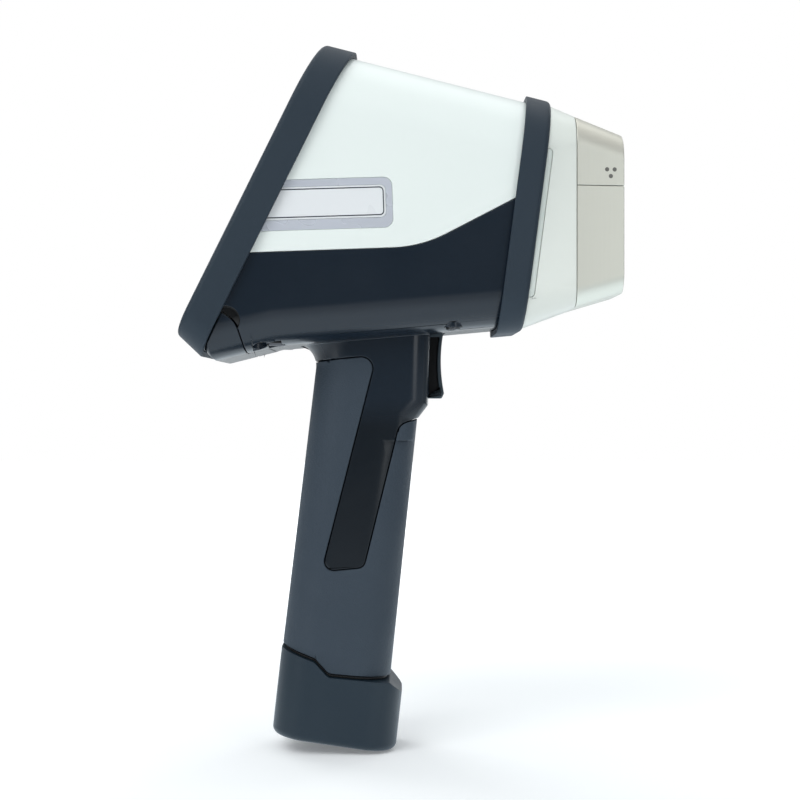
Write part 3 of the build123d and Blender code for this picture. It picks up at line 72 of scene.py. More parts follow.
deselect_all()
bpy.ops.mesh.primitive_plane_add(size=6.0, location=(0, 0, -0.0004))
floor = bpy.context.object
floor.name = "floor"
NEAR_GLOW = 0.16
FAR_GLOW = 0.8
MIRRORED_NEAR = 1.0
MIRRORED_FAR = 0.0
paper, paper_shader = blank_material("white_paper")
paper_shader.inputs["Base Color"].default_value = (0.9, 0.9, 0.9, 1)
paper_shader.inputs["Roughness"].default_value = 0.9
paper_shader.inputs["Specular IOR Level"].default_value = 0.1
tree = paper.node_tree
path = tree.nodes.new("ShaderNodeLightPath")
place = tree.nodes.new("ShaderNodeTexCoord")
away = tree.nodes.new("ShaderNodeVectorMath")
away.operation = "LENGTH"
level = tree.nodes.new("ShaderNodeMapRange")
level.inputs["From Min"].default_value = 0.15
level.inputs["From Max"].default_value = 1.1
level.inputs["To Min"].default_value = NEAR_GLOW
level.inputs["To Max"].default_value = FAR_GLOW
mirrored = tree.nodes.new("ShaderNodeMapRange")
mirrored.inputs["From Min"].default_value = 0.2
mirrored.inputs["From Max"].default_value = 0.55
mirrored.inputs["To Min"].default_value = MIRRORED_NEAR
mirrored.inputs["To Max"].default_value = MIRRORED_FAR
strength = tree.nodes.new("ShaderNodeMix")
tint = tree.nodes.new("ShaderNodeMix")
tint.data_type = "RGBA"
tint.inputs[6].default_value = (0.74, 0.89, 1.0, 1)
tint.inputs[7].default_value = (1, 1, 1, 1)
glow = tree.nodes.new("ShaderNodeEmission")
both = tree.nodes.new("ShaderNodeAddShader")
seen = tree.nodes.new("ShaderNodeMath")
seen.operation = "MAXIMUM"
pick_paper = tree.nodes.new("ShaderNodeMixShader")
side = tree.nodes.new("ShaderNodeNewGeometry")
clear = tree.nodes.new("ShaderNodeBsdfTransparent")
from_below = tree.nodes.new("ShaderNodeMixShader")
tree.links.new(place.outputs["Object"], away.inputs[0])
tree.links.new(away.outputs["Value"], level.inputs["Value"])
tree.links.new(path.outputs["Is Camera Ray"], strength.inputs[0])
tree.links.new(away.outputs["Value"], mirrored.inputs["Value"])
tree.links.new(mirrored.outputs[0], strength.inputs[2])
tree.links.new(level.outputs[0], strength.inputs[3])
tree.links.new(strength.outputs[0], glow.inputs["Strength"])
tree.links.new(path.outputs["Is Camera Ray"], tint.inputs[0])
tree.links.new(tint.outputs[2], glow.inputs["Color"])
tree.links.new(path.outputs["Is Camera Ray"], seen.inputs[0])
tree.links.new(path.outputs["Is Glossy Ray"], seen.inputs[1])
tree.links.new(paper_shader.outputs[0], both.inputs[0])
tree.links.new(glow.outputs[0], both.inputs[1])
tree.links.new(seen.outputs[0], pick_paper.inputs["Fac"])
tree.links.new(paper_shader.outputs[0], pick_paper.inputs[1])
tree.links.new(both.outputs[0], pick_paper.inputs[2])
tree.links.new(side.outputs["Backfacing"], from_below.inputs["Fac"])
tree.links.new(pick_paper.outputs[0], from_below.inputs[1])
tree.links.new(clear.outputs[0], from_below.inputs[2])
tree.links.new(from_below.outputs[0], tree.nodes["Material Output"].inputs["Surface"])
floor.data.materials.append(paper)

HORIZON = 0.22
CEILING = 0.62
world = bpy.data.worlds.new("studio")
world.use_nodes = True
bpy.context.scene.world = world
tree = world.node_tree
direction = tree.nodes.new("ShaderNodeTexCoord")
parts = tree.nodes.new("ShaderNodeSeparateXYZ")
height = tree.nodes.new("ShaderNodeMapRange")
height.inputs["From Min"].default_value = 0.0
height.inputs["From Max"].default_value = 0.9
height.inputs["To Min"].default_value = HORIZON
height.inputs["To Max"].default_value = CEILING
room = tree.nodes["Background"]
room.inputs["Color"].default_value = (0.87, 0.95, 1.0, 1)
backdrop = tree.nodes.new("ShaderNodeBackground")
backdrop.inputs["Color"].default_value = (1, 1, 1, 1)
backdrop.inputs["Strength"].default_value = 1.0
path = tree.nodes.new("ShaderNodeLightPath")
overhead = tree.nodes.new("ShaderNodeMapRange")
overhead.inputs["From Min"].default_value = 0.25
overhead.inputs["From Max"].default_value = 0.85
mirrored = tree.nodes.new("ShaderNodeMath")
mirrored.operation = "MULTIPLY"
camera_or_glass = tree.nodes.new("ShaderNodeMath")
camera_or_glass.operation = "MAXIMUM"
white_for = tree.nodes.new("ShaderNodeMath")
white_for.operation = "MAXIMUM"
pick_room = tree.nodes.new("ShaderNodeMixShader")
tree.links.new(direction.outputs["Generated"], parts.inputs[0])
tree.links.new(parts.outputs["Z"], height.inputs["Value"])
tree.links.new(parts.outputs["Z"], overhead.inputs["Value"])
tree.links.new(height.outputs[0], room.inputs["Strength"])
tree.links.new(path.outputs["Is Glossy Ray"], mirrored.inputs[0])
tree.links.new(overhead.outputs[0], mirrored.inputs[1])
tree.links.new(path.outputs["Is Camera Ray"], camera_or_glass.inputs[0])
tree.links.new(path.outputs["Is Transmission Ray"], camera_or_glass.inputs[1])
tree.links.new(camera_or_glass.outputs[0], white_for.inputs[0])
tree.links.new(mirrored.outputs[0], white_for.inputs[1])
tree.links.new(white_for.outputs[0], pick_room.inputs["Fac"])
tree.links.new(room.outputs[0], pick_room.inputs[1])
tree.links.new(backdrop.outputs[0], pick_room.inputs[2])
tree.links.new(pick_room.outputs[0], tree.nodes["World Output"].inputs["Surface"])


# ---- Studio lamps ----
# Six soft boxes stand round the instrument: broad ones above it, in front and behind, and narrow
# upright ones toward its ends, so that its long edges and the glossy belly carry soft highlights.
def soft_box(name, place, target, size, power):
    """Area lamp turned to its target, as a cloth-fronted box is."""
    data = bpy.data.lights.new(name, "AREA")
    data.shape = "RECTANGLE"
    data.size, data.size_y = size
    data.energy = power
    data.color = (0.965, 0.99, 1.0)
    lamp = bpy.data.objects.new(name, data)
    lamp.location = place
    lamp.rotation_euler = (Vector(target) - Vector(place)).to_track_quat("-Z", "Y").to_euler()
    bpy.context.scene.collection.objects.link(lamp)


# Each box has its place, what it is turned to, its width and height, and its power in watts.
CENTRE = (0, 0, 0.16)
soft_box("key_lamp", (-0.55, -0.85, 1.05), CENTRE, (0.9, 0.7), 7.5)
soft_box("nose_lamp", (0.66, -1.05, 0.34), CENTRE, (0.42, 0.9), 2.6)
soft_box("left_lamp", (-0.95, -0.75, 0.25), CENTRE, (0.4, 0.8), 1.8)
soft_box("top_lamp", (0.1, 0.25, 1.2), CENTRE, (1.0, 0.8), 2.5)
soft_box("rear_lamp", (-0.75, 0.95, 0.75), CENTRE, (0.7, 0.7), 5)
soft_box("far_lamp", (0.66, 1.05, 0.34), CENTRE, (0.42, 0.9), 3)


# ---- Housing mouldings ----
# The upper housing and the cone are white ABS with a fine sheen; the lower housing is in two
# dark halves that meet along the middle and run down into the neck and the handle core.
def new_group(name, inputs, outputs):
    """An empty shader node group with named sockets."""
    group = bpy.data.node_groups.new(name, "ShaderNodeTree")
    for label, kind, value in inputs:
        socket = group.interface.new_socket(label, in_out="INPUT", socket_type=kind)
        socket.default_value = value
    for label, kind in outputs:
        group.interface.new_socket(label, in_out="OUTPUT", socket_type=kind)
    entry = group.nodes.new("NodeGroupInput")
    leave = group.nodes.new("NodeGroupOutput")
    return group, entry, leave


def moulded_skin_group():
    """Fine grain left by the mould, with roughness that drifts slowly over the surface."""
    numbers = "NodeSocketFloat"
    inputs = [("Grain Scale", numbers, 900.0), ("Grain Depth", numbers, 0.1),
              ("Dull", numbers, 0.5), ("Shiny", numbers, 0.35)]
    group, entry, leave = new_group("moulded_skin", inputs,
                                    [("Roughness", numbers), ("Normal", "NodeSocketVector")])
    add, link = group.nodes.new, group.links.new
    place = add("ShaderNodeTexCoord")
    grain = add("ShaderNodeTexNoise")
    grain.inputs["Detail"].default_value = 3
    drift = add("ShaderNodeTexNoise")
    drift.inputs["Scale"].default_value = 35
    drift.inputs["Detail"].default_value = 2
    level = add("ShaderNodeMapRange")
    level.inputs["From Min"].default_value = 0.35
    level.inputs["From Max"].default_value = 0.65
    bump = add("ShaderNodeBump")
    bump.inputs["Distance"].default_value = 0.0002
    link(place.outputs["Object"], grain.inputs["Vector"])
    link(place.outputs["Object"], drift.inputs["Vector"])
    link(entry.outputs["Grain Scale"], grain.inputs["Scale"])
    link(entry.outputs["Grain Depth"], bump.inputs["Strength"])
    link(grain.outputs["Fac"], bump.inputs["Height"])
    link(drift.outputs["Fac"], level.inputs["Value"])
    link(entry.outputs["Shiny"], level.inputs["To Min"])
    link(entry.outputs["Dull"], level.inputs["To Max"])
    link(level.outputs[0], leave.inputs["Roughness"])
    link(bump.outputs["Normal"], leave.inputs["Normal"])
    return group


def tone_group():
    """A colour that drifts a little between two tones over the surface."""
    inputs = [("Tone", "NodeSocketColor", (0.5, 0.5, 0.5, 1)),
              ("Drift Tone", "NodeSocketColor", (0.45, 0.45, 0.45, 1))]
    group, entry, leave = new_group("tone_drift", inputs, [("Color", "NodeSocketColor")])
    add, link = group.nodes.new, group.links.new
    place = add("ShaderNodeTexCoord")
    drift = add("ShaderNodeTexNoise")
    drift.inputs["Scale"].default_value = 22
    drift.inputs["Detail"].default_value = 4
    blend = add("ShaderNodeMix")
    blend.data_type = "RGBA"
    link(place.outputs["Object"], drift.inputs["Vector"])
    link(drift.outputs["Fac"], blend.inputs[0])
    link(entry.outputs["Tone"], blend.inputs[6])
    link(entry.outputs["Drift Tone"], blend.inputs[7])
    link(blend.outputs[2], leave.inputs["Color"])
    return group


SKIN = moulded_skin_group()
TONE = tone_group()


def moulded_material(name, tone, drift_tone, skin, coat=0.0, metallic=0.0, sheen=0.5):
    """Plastic, rubber or paint: tone drift, mould grain and an optional glossy coat."""
    material, shader = blank_material(name)
    tree = material.node_tree
    colour = tree.nodes.new("ShaderNodeGroup")
    colour.node_tree = TONE
    colour.inputs["Tone"].default_value = (*tone, 1)
    colour.inputs["Drift Tone"].default_value = (*drift_tone, 1)
    surface = tree.nodes.new("ShaderNodeGroup")
    surface.node_tree = SKIN
    for label, value in zip(("Grain Scale", "Grain Depth", "Shiny", "Dull"), skin):
        surface.inputs[label].default_value = value
    tree.links.new(colour.outputs["Color"], shader.inputs["Base Color"])
    tree.links.new(surface.outputs["Roughness"], shader.inputs["Roughness"])
    tree.links.new(surface.outputs["Normal"], shader.inputs["Normal"])
    shader.inputs["Metallic"].default_value = metallic
    shader.inputs["Coat Weight"].default_value = coat
    shader.inputs["Coat Roughness"].default_value = 0.12
    shader.inputs["Specular IOR Level"].default_value = sheen
    return material


def paint(names, material):
    """Gives each named solid one material."""
    for name in names:
        nodes[name].data.materials.clear()
        nodes[name].data.materials.append(material)


def ease_edges(names, width):
    """Welds a solid's facets and rounds its sharp corners slightly, as the mould does."""
    for name in names:
        piece = nodes[name]
        for polygon in piece.data.polygons:
            polygon.use_smooth = True
        weld = piece.modifiers.new("weld", "WELD")
        weld.merge_threshold = 0.000002
        flat = piece.modifiers.new("flat_faces", "DECIMATE")
        flat.decimate_type = "DISSOLVE"
        flat.angle_limit = radians(0.3)
        edge = piece.modifiers.new("eased_edges", "BEVEL")
        edge.width = width * MM
        edge.segments = 2
        edge.limit_method = "ANGLE"
        edge.angle_limit = radians(28)
        edge.use_clamp_overlap = False
        even = piece.modifiers.new("even_shading", "WEIGHTED_NORMAL")
        even.mode = "FACE_AREA"
        even.weight = 80
        even.keep_sharp = True


white_shell = moulded_material("white_shell", (0.835, 0.88, 0.845), (0.82, 0.865, 0.83),
                               (1500, 0.05, 0.30, 0.38), coat=0.2)
SHELL_DARK = (0.006, 0.0125, 0.022)
SHELL_DARKER = (0.005, 0.011, 0.0195)
SHELL_SKIN = (1600, 0.02, 0.21, 0.27)
SHELL_COAT = 0.12
dark_shell = moulded_material("dark_shell", SHELL_DARK, SHELL_DARKER, SHELL_SKIN, coat=SHELL_COAT, sheen=0.28)
cone_white = moulded_material("cone_white", (0.80, 0.82, 0.765), (0.775, 0.80, 0.74),
                              (1500, 0.05, 0.34, 0.42), coat=0.12)
paint(["upper_housing"], white_shell)
paint(["nose_cone"], cone_white)
paint(["port_cover"], dark_shell)


def lower_zones_group():
    """Masks of the lower housing: its handle strips, and the thumb notches over the cover, whose floors get
    painted shade.
    """
    numbers = "NodeSocketFloat"
    group, entry, leave = new_group("lower_zones", [], [("Handle", numbers), ("Notch Shade", numbers)])
    add, link = group.nodes.new, group.links.new
    place = add("ShaderNodeTexCoord")
    parts = add("ShaderNodeSeparateXYZ")
    handle = add("ShaderNodeMapRange")
    handle.inputs["From Min"].default_value = 0.142
    handle.inputs["From Max"].default_value = 0.130
    flat = add("ShaderNodeVectorMath")
    flat.operation = "MULTIPLY"
    flat.inputs[1].default_value = (1, 0, 1)
    away = add("ShaderNodeVectorMath")
    away.operation = "DISTANCE"
    away.inputs[1].default_value = (-0.0684, 0, 0.1718)
    notch_shade_mask = add("ShaderNodeMath")
    notch_shade_mask.operation = "LESS_THAN"
    notch_shade_mask.inputs[1].default_value = 0.0056
    link(place.outputs["Object"], parts.inputs[0])
    link(parts.outputs["Z"], handle.inputs["Value"])
    link(place.outputs["Object"], flat.inputs[0])
    link(flat.outputs[0], away.inputs[0])
    link(away.outputs["Value"], notch_shade_mask.inputs[0])
    link(handle.outputs[0], leave.inputs["Handle"])
    link(notch_shade_mask.outputs[0], leave.inputs["Notch Shade"])
    return group


lower_shell = moulded_material("lower_shell", SHELL_DARK, SHELL_DARKER, SHELL_SKIN, sheen=0.28)
tree = lower_shell.node_tree
shader = tree.nodes["Principled BSDF"]
shell_tone = shader.inputs["Base Color"].links[0].from_socket
zones = tree.nodes.new("ShaderNodeGroup")
zones.node_tree = lower_zones_group()
on_handle = tree.nodes.new("ShaderNodeMix")
on_handle.data_type = "RGBA"
on_handle.inputs[7].default_value = (0.002, 0.005, 0.009, 1)
# Painted shade: the floors of the thumb notches are coloured near black, as the hollow would look in shade.
painted_notch_shade = tree.nodes.new("ShaderNodeMix")
painted_notch_shade.data_type = "RGBA"
painted_notch_shade.inputs[7].default_value = (0.0006, 0.0008, 0.0012, 1)
coated = tree.nodes.new("ShaderNodeMapRange")
coated.inputs["To Min"].default_value = SHELL_COAT
coated.inputs["To Max"].default_value = 0.0
tree.links.new(zones.outputs["Handle"], on_handle.inputs[0])
tree.links.new(shell_tone, on_handle.inputs[6])
tree.links.new(zones.outputs["Notch Shade"], painted_notch_shade.inputs[0])
tree.links.new(on_handle.outputs[2], painted_notch_shade.inputs[6])
tree.links.new(painted_notch_shade.outputs[2], shader.inputs["Base Color"])
tree.links.new(zones.outputs["Handle"], coated.inputs["Value"])
tree.links.new(coated.outputs[0], shader.inputs["Coat Weight"])
paint(["lower_housing_right", "lower_housing_left"], lower_shell)
ease_edges(["upper_housing", "nose_cone", "lower_housing_right", "lower_housing_left", "port_cover"], 0.3)


# ---- Rubber guards ----
# Two thick bumpers of moulded rubber hold the display end and the cone end of the housing and
# take the knocks when the instrument is set down.
guard_rubber = moulded_material("guard_rubber", (0.019, 0.031, 0.045), (0.016, 0.027, 0.040),
                                (2600, 0.30, 0.50, 0.62), sheen=0.28)
paint(["rear_guard", "front_guard"], guard_rubber)
ease_edges(["rear_guard", "front_guard"], 0.4)


# ---- Grip, seal and battery foot ----
# A textured rubber sleeve is moulded round the handle. The battery's foot is a hard moulding
# below it, with a soft black seal between the two.
grip_rubber = moulded_material("grip_rubber", (0.034, 0.048, 0.065), (0.029, 0.042, 0.059),
                               (1500, 0.8, 0.55, 0.66), sheen=0.3)
foot_plastic = moulded_material("foot_plastic", (0.008, 0.019, 0.030), (0.007, 0.0165, 0.027),
                                (2400, 0.2, 0.42, 0.52), sheen=0.3)
seal_rubber = moulded_material("seal_rubber", (0.006, 0.006, 0.007), (0.009, 0.009, 0.01),
                               (1500, 0.2, 0.6, 0.75))
paint(["grip_sleeve"], grip_rubber)
paint(["battery_foot", "battery_latch"], foot_plastic)
paint(["battery_seal", "display_gasket"], seal_rubber)
ease_edges(["grip_sleeve", "battery_foot", "battery_latch", "battery_seal", "display_gasket"], 0.3)


# ---- Measuring nose ----
# Two drawn stainless shells and a screwed front plate close the nose; all are brushed, and the
# plate carries the thin amber film of the measuring window.
def brushed_group():
    """Fine lines left by brushing: two tones, a roughness between two limits, and shallow relief."""
    numbers = "NodeSocketFloat"
    inputs = [("Tone", "NodeSocketColor", (0.6, 0.6, 0.6, 1)),
              ("Dark Tone", "NodeSocketColor", (0.5, 0.5, 0.5, 1)),
              ("Streak", "NodeSocketVector", (600, 600, 600)),
              ("Shiny", numbers, 0.3), ("Dull", numbers, 0.4)]
    outputs = [("Color", "NodeSocketColor"), ("Roughness", numbers), ("Normal", "NodeSocketVector")]
    group, entry, leave = new_group("brushed_lines", inputs, outputs)
    add, link = group.nodes.new, group.links.new
    place = add("ShaderNodeTexCoord")
    stretch = add("ShaderNodeMapping")
    lines = add("ShaderNodeTexNoise")
    lines.inputs["Scale"].default_value = 1
    lines.inputs["Detail"].default_value = 4
    colour = add("ShaderNodeMix")
    colour.data_type = "RGBA"
    rough = add("ShaderNodeMapRange")
    bump = add("ShaderNodeBump")
    bump.inputs["Strength"].default_value = 0.12
    bump.inputs["Distance"].default_value = 0.0001
    link(place.outputs["Object"], stretch.inputs["Vector"])
    link(entry.outputs["Streak"], stretch.inputs["Scale"])
    link(stretch.outputs[0], lines.inputs["Vector"])
    link(lines.outputs["Fac"], colour.inputs[0])
    link(entry.outputs["Dark Tone"], colour.inputs[6])
    link(entry.outputs["Tone"], colour.inputs[7])
    link(lines.outputs["Fac"], rough.inputs["Value"])
    link(entry.outputs["Shiny"], rough.inputs["To Min"])
    link(entry.outputs["Dull"], rough.inputs["To Max"])
    link(lines.outputs["Fac"], bump.inputs["Height"])
    link(colour.outputs[2], leave.inputs["Color"])
    link(rough.outputs[0], leave.inputs["Roughness"])
    link(bump.outputs["Normal"], leave.inputs["Normal"])
    return group


BRUSHED = brushed_group()
ROUGH_SPREAD = 0.07


def brushed_metal(name, tone, dark_tone, streak, roughness):
    """Metal brushed along one direction of the piece, or evenly where its streaks are equal."""
    material, shader = blank_material(name)
    tree = material.node_tree
    surface = tree.nodes.new("ShaderNodeGroup")
    surface.node_tree = BRUSHED
    surface.inputs["Tone"].default_value = (*tone, 1)
    surface.inputs["Dark Tone"].default_value = (*dark_tone, 1)
    surface.inputs["Streak"].default_value = streak
    surface.inputs["Shiny"].default_value = roughness - ROUGH_SPREAD
    surface.inputs["Dull"].default_value = roughness + ROUGH_SPREAD
    tree.links.new(surface.outputs["Color"], shader.inputs["Base Color"])
    tree.links.new(surface.outputs["Roughness"], shader.inputs["Roughness"])
    tree.links.new(surface.outputs["Normal"], shader.inputs["Normal"])
    shader.inputs["Metallic"].default_value = 1.0
    return material


nose_metal = brushed_metal("nose_metal", (0.548, 0.545, 0.488), (0.505, 0.50, 0.445), (1900, 1900, 45), 0.44)
alloy = brushed_metal("alloy", (0.66, 0.67, 0.69), (0.52, 0.53, 0.55), (120, 1800, 120), 0.32)
steel = brushed_metal("screw_steel", (0.55, 0.55, 0.56), (0.40, 0.40, 0.42), (600, 600, 600), 0.28)
dark_steel = brushed_metal("dark_steel", (0.10, 0.10, 0.105), (0.06, 0.06, 0.065), (700, 700, 700), 0.36)
film = moulded_material("window_film", (0.45, 0.26, 0.07), (0.40, 0.22, 0.06), (900, 0.1, 0.12, 0.2), 0.5)
paint(["nose_upper_shell", "nose_lower_shell", "window_plate"], nose_metal)
paint(["measuring_head", "chassis_plate", "filter_wheel"], alloy)
paint(["window_screws", "housing_screws", "trigger_pin", "trigger_spring", "latch_spring"], steel)
paint(["strap_bars"], dark_steel)
paint(["window_film"], film)
ease_edges(["nose_upper_shell", "nose_lower_shell", "window_plate"], 0.3)
ease_edges(["measuring_head", "chassis_plate", "filter_wheel"], 0.15)
ease_edges(["window_screws", "housing_screws", "trigger_pin", "strap_bars"], 0.15)


# ---- Nose screws ----
# Four socket-head screws of blackened steel hold the front plate against the measuring head.
# Their heads lie a little below the face of the plate.
def edit(*pieces):
    """Goes into edit mode on the given pieces, with nothing else selected."""
    deselect_all()
    for piece in pieces:
        piece.select_set(True)
    bpy.context.view_layer.objects.active = pieces[0]
    bpy.ops.object.mode_set(mode="EDIT")


def pick(test):
    """Selects only those points of the piece in edit mode that pass a test of their place."""
    bpy.ops.mesh.select_all(action="DESELECT")
    bpy.ops.object.mode_set(mode="OBJECT")
    for point in bpy.context.object.data.vertices:
        point.select = test(point.co)
    bpy.ops.object.mode_set(mode="EDIT")


def pull(z, grow=1.0):
    """Extrudes what is selected along Z and widens its new end."""
    bpy.ops.mesh.extrude_region_move(TRANSFORM_OT_translate={"value": (0, 0, z)})
    if grow != 1.0:
        bpy.ops.transform.resize(value=(grow, grow, 1), center_override=(0, 0, 0))


def socket_screw(name, head, thick, shank, length, socket):
    """Screw pointing down -Z with its head's top on z = 0: rounded rim, hexagon socket, shank."""
    deselect_all()
    rim = 0.12 * head
    bpy.ops.mesh.primitive_circle_add(vertices=6, radius=socket)
    screw = bpy.context.object
    screw.name = name
    edit(screw)
    bpy.ops.mesh.primitive_circle_add(vertices=24, radius=head - rim)
    bpy.ops.mesh.select_all(action="SELECT")
    bpy.ops.mesh.bridge_edge_loops()
    pick(lambda co: co.length > (head + socket) / 2)
    pull(-rim, head / (head - rim))
    pull(rim - thick)
    pull(0, shank / head)
    pull(-length)
    bpy.ops.mesh.edge_face_add()
    pick(lambda co: co.length < socket * 1.05 and co.z > -rim / 2)
    pull(-0.6 * thick)
    bpy.ops.mesh.edge_face_add()
    bpy.ops.mesh.select_all(action="SELECT")
    bpy.ops.mesh.normals_make_consistent(inside=False)
    bpy.ops.object.mode_set(mode="OBJECT")
    bpy.ops.object.shade_smooth_by_angle(angle=radians(35))
    return screw


def lay(piece, origin, across, outward):
    """Moves a piece drawn on the ground plane onto a face of the instrument, for good."""
    up = Vector(outward).cross(Vector(across))
    turn = Matrix((across, up, outward)).transposed().to_4x4()
    piece.matrix_world = Matrix.Translation(origin) @ turn
    deselect_all()
    piece.select_set(True)
    bpy.context.view_layer.objects.active = piece
    bpy.ops.object.transform_apply(location=True, rotation=True, scale=True)


def copied(piece, name):
    """The same piece again, with a mesh of its own."""
    twin = piece.copy()
    twin.data = piece.data.copy()
    twin.name = name
    bpy.context.scene.collection.objects.link(twin)
    return twin


def joined(name, pieces):
    """Several pieces made into one, under a new name."""
    deselect_all()
    for piece in pieces:
        piece.select_set(True)
    bpy.context.view_layer.objects.active = pieces[0]
    bpy.ops.object.join()
    bpy.context.object.name = name
    return bpy.context.object


def screw_set(name, pattern, places, outward, across):
    """One piece made of copies of a screw, with their heads' tops at the given places."""
    screws = []
    for index, place in enumerate(places):
        screw = copied(pattern, name + str(index))
        lay(screw, [value * MM for value in place], across, outward)
        screws.append(screw)
    bpy.data.objects.remove(pattern)
    return joined(name, screws)


NOSE_FRONT = 87.55
NOSE_SCREWS = ((-16.0, 190.0), (16.0, 190.0), (-13.0, 237.0), (13.0, 237.0))
pattern = socket_screw("nose_screw", 1.9 * MM, 1.0 * MM, 1.0 * MM, 6.4 * MM, 0.95 * MM)
heads = [(NOSE_FRONT - 0.2, y, z) for y, z in NOSE_SCREWS]
nose_screws = screw_set("nose_screws", pattern, heads, (1, 0, 0), (0, 1, 0))
nose_screws.data.materials.append(dark_steel)
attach(nose_screws, "housing")
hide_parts("window_screws")


# ---- Housing screws ----
# Two long screws in front and two short ones beside the chin cover hold the housing together.
# They are of blackened steel, and their heads are sunk in the belly.
FRONT_HEADS = [(20.0, y, 168.8) for y in (-25.0, 25.0)]
REAR_HEADS = [(-55.8, y, 163.6) for y in (-29.0, 29.0)]
FRONT_LONG = 40.0
REAR_LONG = 3.6
pairs = []
for name, heads, long in (("front_pair", FRONT_HEADS, FRONT_LONG), ("rear_pair", REAR_HEADS, REAR_LONG)):
    pattern = socket_screw(name + "_screw", 2.6 * MM, 2.0 * MM, 1.5 * MM, long * MM, 1.3 * MM)
    pairs.append(screw_set(name, pattern, heads, (0, 0, -1), (1, 0, 0)))
belly_screws = joined("belly_screws", pairs)
belly_screws.data.materials.clear()
belly_screws.data.materials.append(dark_steel)
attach(belly_screws, "housing")
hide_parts("housing_screws")


# ---- Nose marks ----
# Three small dots are etched into each side of the nose, above the split between its shells.
def rounded_plate(name, width, height, radius, thick, band=0.0, gap=0.0, rounds=5):
    """Thin plate with rounded corners, or a band along its edge, with a gap in the band on top."""
    deselect_all()
    bpy.ops.mesh.primitive_plane_add(size=1)
    plate = bpy.context.object
    plate.name = name
    edit(plate)
    bpy.ops.transform.resize(value=(width * MM, height * MM, 1), center_override=(0, 0, 0))
    if radius:
        bpy.ops.mesh.bevel(offset=radius * MM, segments=rounds, affect="VERTICES")
    bpy.ops.mesh.select_all(action="SELECT")
    if band:
        bpy.ops.mesh.select_mode(type="FACE")
        bpy.ops.mesh.inset(thickness=band * MM)
        bpy.ops.mesh.delete(type="FACE")
        bpy.ops.mesh.select_mode(type="VERT")
        if gap:
            pick(lambda co: abs(co.x) < gap * MM and co.y > 0)
            bpy.ops.mesh.delete(type="VERT")
        bpy.ops.mesh.select_all(action="SELECT")
    pull(thick * MM)
    bpy.ops.mesh.select_all(action="SELECT")
    bpy.ops.mesh.normals_make_consistent(inside=False)
    bpy.ops.object.mode_set(mode="OBJECT")
    return plate


def shifted(piece, x, y, z=0.0):
    """The same piece moved in its own plane, in millimetres."""
    piece.location = (x * MM, y * MM, z * MM)
    deselect_all()
    piece.select_set(True)
    bpy.context.view_layer.objects.active = piece
    bpy.ops.object.transform_apply(location=True, rotation=False, scale=False)
    return piece


etched = moulded_material("etched_mark", (0.13, 0.125, 0.115), (0.11, 0.105, 0.095), (1800, 0.1, 0.5, 0.6))
NOSE_REAR = 68.5
NOSE_HALF_REAR = 27.3
NOSE_HALF_FRONT = 24.8
DOT_PLACE = (82.1, 231.0)
DOT_WIDE = 1.7
DOT_RING = 1.75
narrowing = (NOSE_HALF_REAR - NOSE_HALF_FRONT) / (NOSE_FRONT - NOSE_REAR)
pattern = rounded_plate("dot", DOT_WIDE, DOT_WIDE, 0.84, 0.03, rounds=6)
for side, name in ((-1, "right"), (1, "left")):
    dots = []
    for turn in (90, 210, 330):
        dot = copied(pattern, "dot" + str(turn))
        dots.append(shifted(dot, DOT_RING * cos(radians(turn)), DOT_RING * sin(radians(turn))))
    mark = joined("nose_mark_" + name, dots)
    outward = Vector((narrowing, side, 0)).normalized()
    across = Vector((-side * outward.y, side * outward.x, 0)) * -side
    half = NOSE_HALF_REAR - narrowing * (DOT_PLACE[0] - NOSE_REAR)
    lay(mark, (DOT_PLACE[0] * MM, side * half * MM, DOT_PLACE[1] * MM), across, outward)
    mark.data.materials.append(etched)
    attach(mark, "housing")
bpy.data.objects.remove(pattern)


# ---- Light bars ----
# A translucent strip on each side of the cone shows when the tube is live. It is pressed into a
# slot in the cone and is unlit here.
light_plastic = moulded_material("light_plastic", (0.70, 0.75, 0.70), (0.66, 0.71, 0.66), (600, 0.1, 0.2, 0.3),
                                 coat=0.3)
paint(["light_bar_right", "light_bar_left"], light_plastic)
ease_edges(["light_bar_right", "light_bar_left"], 0.2)


# ---- Side labels ----
# A silver foil surround lies in each side's recess, with a plain white plate inside it. Both are
# glued, and they run on under the rear guard.
label_silver = moulded_material("label_silver", (0.68, 0.70, 0.76), (0.61, 0.63, 0.70), (800, 0.05, 0.22, 0.3),
                                coat=0.3, metallic=0.35)
label_white = moulded_material("label_white", (0.80, 0.81, 0.82), (0.78, 0.79, 0.80),
                               (800, 0.04, 0.25, 0.32), coat=0.3)
paint(["label_frame_right", "label_frame_left"], label_silver)
paint(["label_plate_right", "label_plate_left"], label_white)
ease_edges(["label_frame_right", "label_frame_left", "label_plate_right", "label_plate_left"], 0.12)


# ---- Label outlines ----
# A dark line is printed round each white plate, a little in from its edge. Like the plate, it
# ends under the rear guard.
SIDE_SLOPE = tan(radians(3.8))
REAR_LEAN = radians(26.4)
SCREEN = Vector((-60.2, 0, 223.0)) * MM
OUT_BACK = Vector((-cos(REAR_LEAN), 0, sin(REAR_LEAN)))
UP_BACK = Vector((sin(REAR_LEAN), 0, cos(REAR_LEAN)))
LABEL_TILT = radians(2.0)
LABEL_FRONT = Vector((-3.8, 0, 217.7)) * MM
REAR_HALF_WIDTH = 40.0 * MM
OUTLINE_LONG = 60.0
OUTLINE_HIGH = 11.1
OUTLINE_FROM_FRONT = 3.4
OUTLINE_UP = 0.6
GUARD_FRONT = 11.8 * MM
line_ink = moulded_material("line_ink", (0.012, 0.016, 0.03), (0.010, 0.014, 0.026), (900, 0.03, 0.3, 0.4))
pattern = rounded_plate("label_outline", OUTLINE_LONG, OUTLINE_HIGH, 1.7, 0.05, band=0.42)
shifted(pattern, -OUTLINE_LONG / 2 - OUTLINE_FROM_FRONT, OUTLINE_UP, -0.1)
